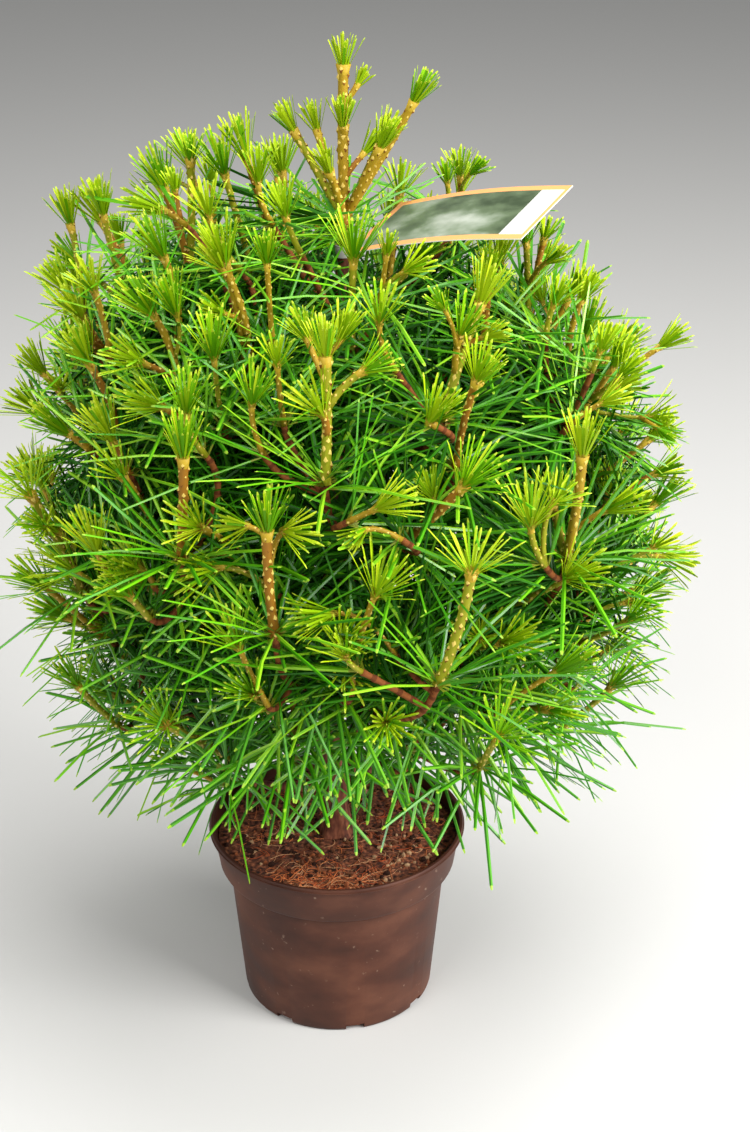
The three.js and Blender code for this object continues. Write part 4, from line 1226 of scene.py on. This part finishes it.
for i in range(SLOTS):
    a = math.radians(SLOT_TURN + 360 * i / SLOTS)
    place = (POT["foot"] / 1000 * math.cos(a), POT["foot"] / 1000 * math.sin(a), 0)
    bpy.ops.mesh.primitive_cube_add(size=1, location=place, rotation=(0, 0, a))
    cutter = bpy.context.object
    cutter.scale = (2 * SLOT_DEPTH / 1000, SLOT_WIDTH / 1000, 2 * SLOT_HEIGHT / 1000)
    bpy.context.view_layer.objects.active = pot
    cut = pot.modifiers.new("slot", "BOOLEAN")
    cut.object, cut.solver = cutter, "EXACT"
    bpy.ops.object.modifier_apply(modifier="slot")
    bpy.data.objects.remove(cutter)
pot.data.materials.append(plastic.material)
bpy.context.view_layer.objects.active = pot
pot.select_set(True)
bpy.ops.object.shade_smooth_by_angle(angle=math.radians(32))
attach(pot, "root")
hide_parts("pot")


# The compost is dark and crumbly, slightly heaped, and fills the pot to just below the rim. Crumbs and a mat
# of reddish coir fibres lie on it, thickest in front, with paler grit at the right.
soil = Pattern("compost_dark", 0.95)
grain = soil.cloud(260, detail=8)
browns = ((0.32, (40, 20, 12)), (0.48, (94, 50, 31)), (0.62, (146, 84, 54)), (0.8, (190, 130, 90)))
soil.colour(soil.ramp(grain, browns))
soil.bump(grain, 0.9, 0.0016)
COMPOST_TOP = POT["height"] - BELOW_RIM
top_radius = 102.7


def soil_height(x, y):
    """Height over the flat top of the solid."""
    rough = noise.fractal(Vector((x / 9, y / 9, 3.1)), 0.8, 2.1, 5) * 1.3
    lumps = noise.fractal(Vector((x / 28, y / 28, 9.7)), 0.9, 2.0, 3) * 1.9
    return rough + lumps - 0.6


def anywhere(edge):
    """A place on the compost, so far in from its edge."""
    out, a = (top_radius - edge) * math.sqrt(rng.random()), rng.uniform(0, 2 * math.pi)
    return out * math.cos(a), out * math.sin(a)


SKIRT = ((98.2, -21.6), (91.2, -21.8), (80.0, -147.6))
rows, columns = 52, 180
out = top_radius * (np.arange(rows + 1) / rows) ** 0.8
angle = 2 * math.pi * np.arange(columns) / columns
x, y = out[1:, None] * np.cos(angle), out[1:, None] * np.sin(angle)
z = np.array([soil_height(a, b) for a, b in zip(x.ravel(), y.ravel())]).reshape(x.shape)
fade = np.clip((top_radius - out[1:]) / 5, 0.25, 1)[:, None]
rings = [np.stack((x, y, z * fade), -1).reshape(-1, 3)]
for radius, depth in SKIRT:
    rings.append(np.stack((radius * np.cos(angle), radius * np.sin(angle), np.full(columns, depth)), -1))
rings.append([(0, 0, soil_height(0, 0)), (0, 0, SKIRT[-1][1])])
count = rows + len(SKIRT)
middle, bottom, last = count * columns, count * columns + 1, (count - 1) * columns
here, after = np.arange(columns), (np.arange(columns) + 1) % columns
caps = [(middle, a, b) for a, b in zip(here, after)]
caps += [(bottom, b, a) for a, b in zip(here + last, after + last)]
heap = Heap()
heap.add(np.concatenate(rings), tube_faces(count, columns)[..., (0, 3, 2, 1)].reshape(-1, 4), 0, caps)
compost = heap.make("compost_bed", [soil.material], smooth=True, lift=COMPOST_TOP)
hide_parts("compost")

crumb_paints = [
    paint("crumb_dark", (50, 29, 19), 0.95, 0.2),
    paint("crumb_brown", (102, 62, 41), 0.95, 0.2),
    paint("crumb_red", (144, 80, 49), 0.95, 0.2),
    paint("crumb_pale", (176, 140, 104), 0.95, 0.2),
]
CRUMBS, GRITTY, CRUMBLY = 900, (0.1, 0.2, 0.2, 0.5), (0.34, 0.34, 0.26, 0.06)
ball = bmesh.new()
bmesh.ops.create_icosphere(ball, subdivisions=1, radius=1)
ball_points = np.array([v.co for v in ball.verts])
ball_faces = np.array([[v.index for v in f.verts] for f in ball.faces])
ball.free()
heap = Heap()
for _ in range(CRUMBS):
    x, y = anywhere(4)
    size = rng.uniform(0.8, 3.2) * rng.uniform(0.5, 1)
    lump = ball_points * rng.uniform(0.6, 1.4, (1, 3)) * rng.uniform(0.8, 1.2, (len(ball_points), 1)) * size
    shares = GRITTY if x > 30 and y < -20 else CRUMBLY
    heap.add(lump + (x, y, soil_height(x, y) + size * 0.25), ball_faces, int(rng.choice(4, p=shares)))
heap.make("compost_crumbs", crumb_paints, lift=COMPOST_TOP)

fibre_paints = [
    paint("fibre_red", (186, 84, 44), 0.8, 0.3),
    paint("fibre_orange", (222, 128, 72), 0.8, 0.3),
    paint("fibre_tan", (206, 152, 108), 0.8, 0.3),
    paint("fibre_brown", (132, 70, 42), 0.85, 0.3),
]
FIBRES, FIBRE_STEPS, FIBRE_CORNERS = 420, 10, 4
heap = Heap()
for i in range(FIBRES):
    x, y = anywhere(12) if i % 3 else (rng.normal(-20, 20), rng.normal(-78, 9))
    bearing, length, curl = rng.normal(0.2, 0.9), rng.uniform(10, 46), rng.normal(0, 0.05)
    points = []
    for k in range(FIBRE_STEPS):
        if math.hypot(x, y) > top_radius - 5:
            break
        arch = 1.8 * math.sin(math.pi * k / (FIBRE_STEPS - 1)) * (i % 5 == 0)
        points.append((x, y, soil_height(x, y) + 0.5 + arch))
        x, y = x + math.cos(bearing) * length / FIBRE_STEPS, y + math.sin(bearing) * length / FIBRE_STEPS
        bearing += curl * length / 5 + rng.normal(0, 0.16)
    if len(points) < 4:
        continue
    points = np.array(points)
    radii = np.full(len(points), rng.uniform(0.16, 0.42)) * np.linspace(1, 0.6, len(points))
    paints = np.full((1, len(points) - 1, FIBRE_CORNERS), int(rng.integers(0, 4)))
    add_round_rod(heap, points, unit(np.gradient(points, axis=0)), UP, radii, paints)
heap.make("compost_fibres", fibre_paints, smooth=True, lift=COMPOST_TOP)


# The plant label is a bent glossy card with an orange border round a soft grey-green field and a white end.
# It is held by a white strap whose loop goes round the trunk.
field = Pattern("label_field", 0.3)
soft = field.cloud(26, (1, 1, 2), 5)
greens = ((0.34, (46, 62, 34)), (0.47, (84, 100, 70)), (0.56, (120, 132, 110)), (0.72, (164, 170, 156)))
field.colour(field.ramp(soft, greens))
label_paints = [
    paint("label_white", (236, 232, 226), 0.35, 0.5, 0.2),
    paint("label_orange", (240, 160, 92), 0.32, 0.5, 0.3),
    field.material,
]
WHITE, ORANGE, FIELD = 0, 1, 2
CARD = dict(half_thick=0.4, foot_border=6, tip_border=3, field=39.5, white=21, rows=30, columns=18)
STRAP = dict(inner=0.45, outer=1.65, corners=40, half_thick=0.9, steps=7, onto_card=8.0)


def card_point(u, v, w):
    bow = LABEL["bow"] * np.sin(math.pi * u / LABEL["length"])
    on_card = card_edge + np.multiply.outer(u, card_along) + np.multiply.outer(v, card_across)
    return on_card + np.multiply.outer(w + bow, card_normal)


length, half_width = LABEL["length"], LABEL["width"] / 2
borders = (CARD["foot_border"], length - CARD["tip_border"], length - CARD["white"])
us = np.unique(np.concatenate((np.linspace(0, length, CARD["rows"]), borders)))
vs = np.linspace(-half_width, half_width, CARD["columns"])
vs = np.unique(np.concatenate((vs, (-CARD["field"], CARD["field"]))))
u, v = np.meshgrid(us, vs, indexing="ij")
half_thick = CARD["half_thick"]
sheets = [card_point(u, v, np.full_like(u, w)).reshape(-1, 3) for w in (half_thick, -half_thick)]
nu, nv = len(us), len(vs)
i, j = np.meshgrid(np.arange(nu - 1), np.arange(nv - 1), indexing="ij")
corner = (i * nv + j).ravel()
upper = np.stack((corner, corner + nv, corner + nv + 1, corner + 1), -1)
lower = upper[:, ::-1] + nu * nv
mid_u, mid_v = ((us[:-1] + us[1:]) / 2)[i.ravel()], ((vs[:-1] + vs[1:]) / 2)[j.ravel()]
on_border = (np.abs(mid_v) > CARD["field"]) | (mid_u < borders[0]) | (mid_u > borders[1])
fronts = np.where(on_border, ORANGE, np.where(mid_u > borders[2], WHITE, FIELD))
edge = [k * nv for k in range(nu)] + [(nu - 1) * nv + k for k in range(1, nv)]
edge += [k * nv + nv - 1 for k in range(nu - 2, -1, -1)] + list(range(nv - 2, 0, -1))
sides = np.array([(a + nu * nv, b + nu * nv, b, a) for a, b in zip(edge, edge[1:] + edge[:1])])
heap = Heap()
heap.add(np.concatenate(sheets), upper, fronts, np.concatenate((lower, sides)), WHITE)

inner, outer = trunk_radius(LABEL["loop"]) + STRAP["inner"], trunk_radius(LABEL["loop"]) + STRAP["outer"]
half, n = LABEL["loop_tall"] / 2, STRAP["corners"]
turns = 2 * math.pi * np.arange(n) / n
band = []
for radius, height in ((outer, -half), (outer, half), (inner, half), (inner, -half)):
    ring = (radius * np.cos(turns), radius * np.sin(turns), np.full(n, height))
    band.append(np.stack(ring, -1) + loop_centre)
heap.add(np.concatenate(band), tube_faces(5, n).reshape(-1, 4) % (4 * n), WHITE)
start, end = loop_centre + (outer - 0.4) * RIGHT, card_point(*np.array((STRAP["onto_card"], 0.0, 0.0)))
shares = np.linspace(0, 1, STRAP["steps"])
centres = np.array([[lerp(start, end, t) for t in shares]])
ways = np.broadcast_to(unit(end - start), centres.shape)
sides = np.array([[lerp(UP, card_across, t) for t in shares]])
flat = np.array(((1, 0.4), (-1, 0.4), (-1, -0.4), (1, -0.4)))
widths, thicks = np.full((1, len(shares)), half), np.full((1, len(shares)), STRAP["half_thick"])
add_rods(heap, centres, ways, sides, widths, thicks, flat, WHITE)
label = heap.make("label_card", label_paints)
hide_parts("label")


bpy.context.view_layer.update()
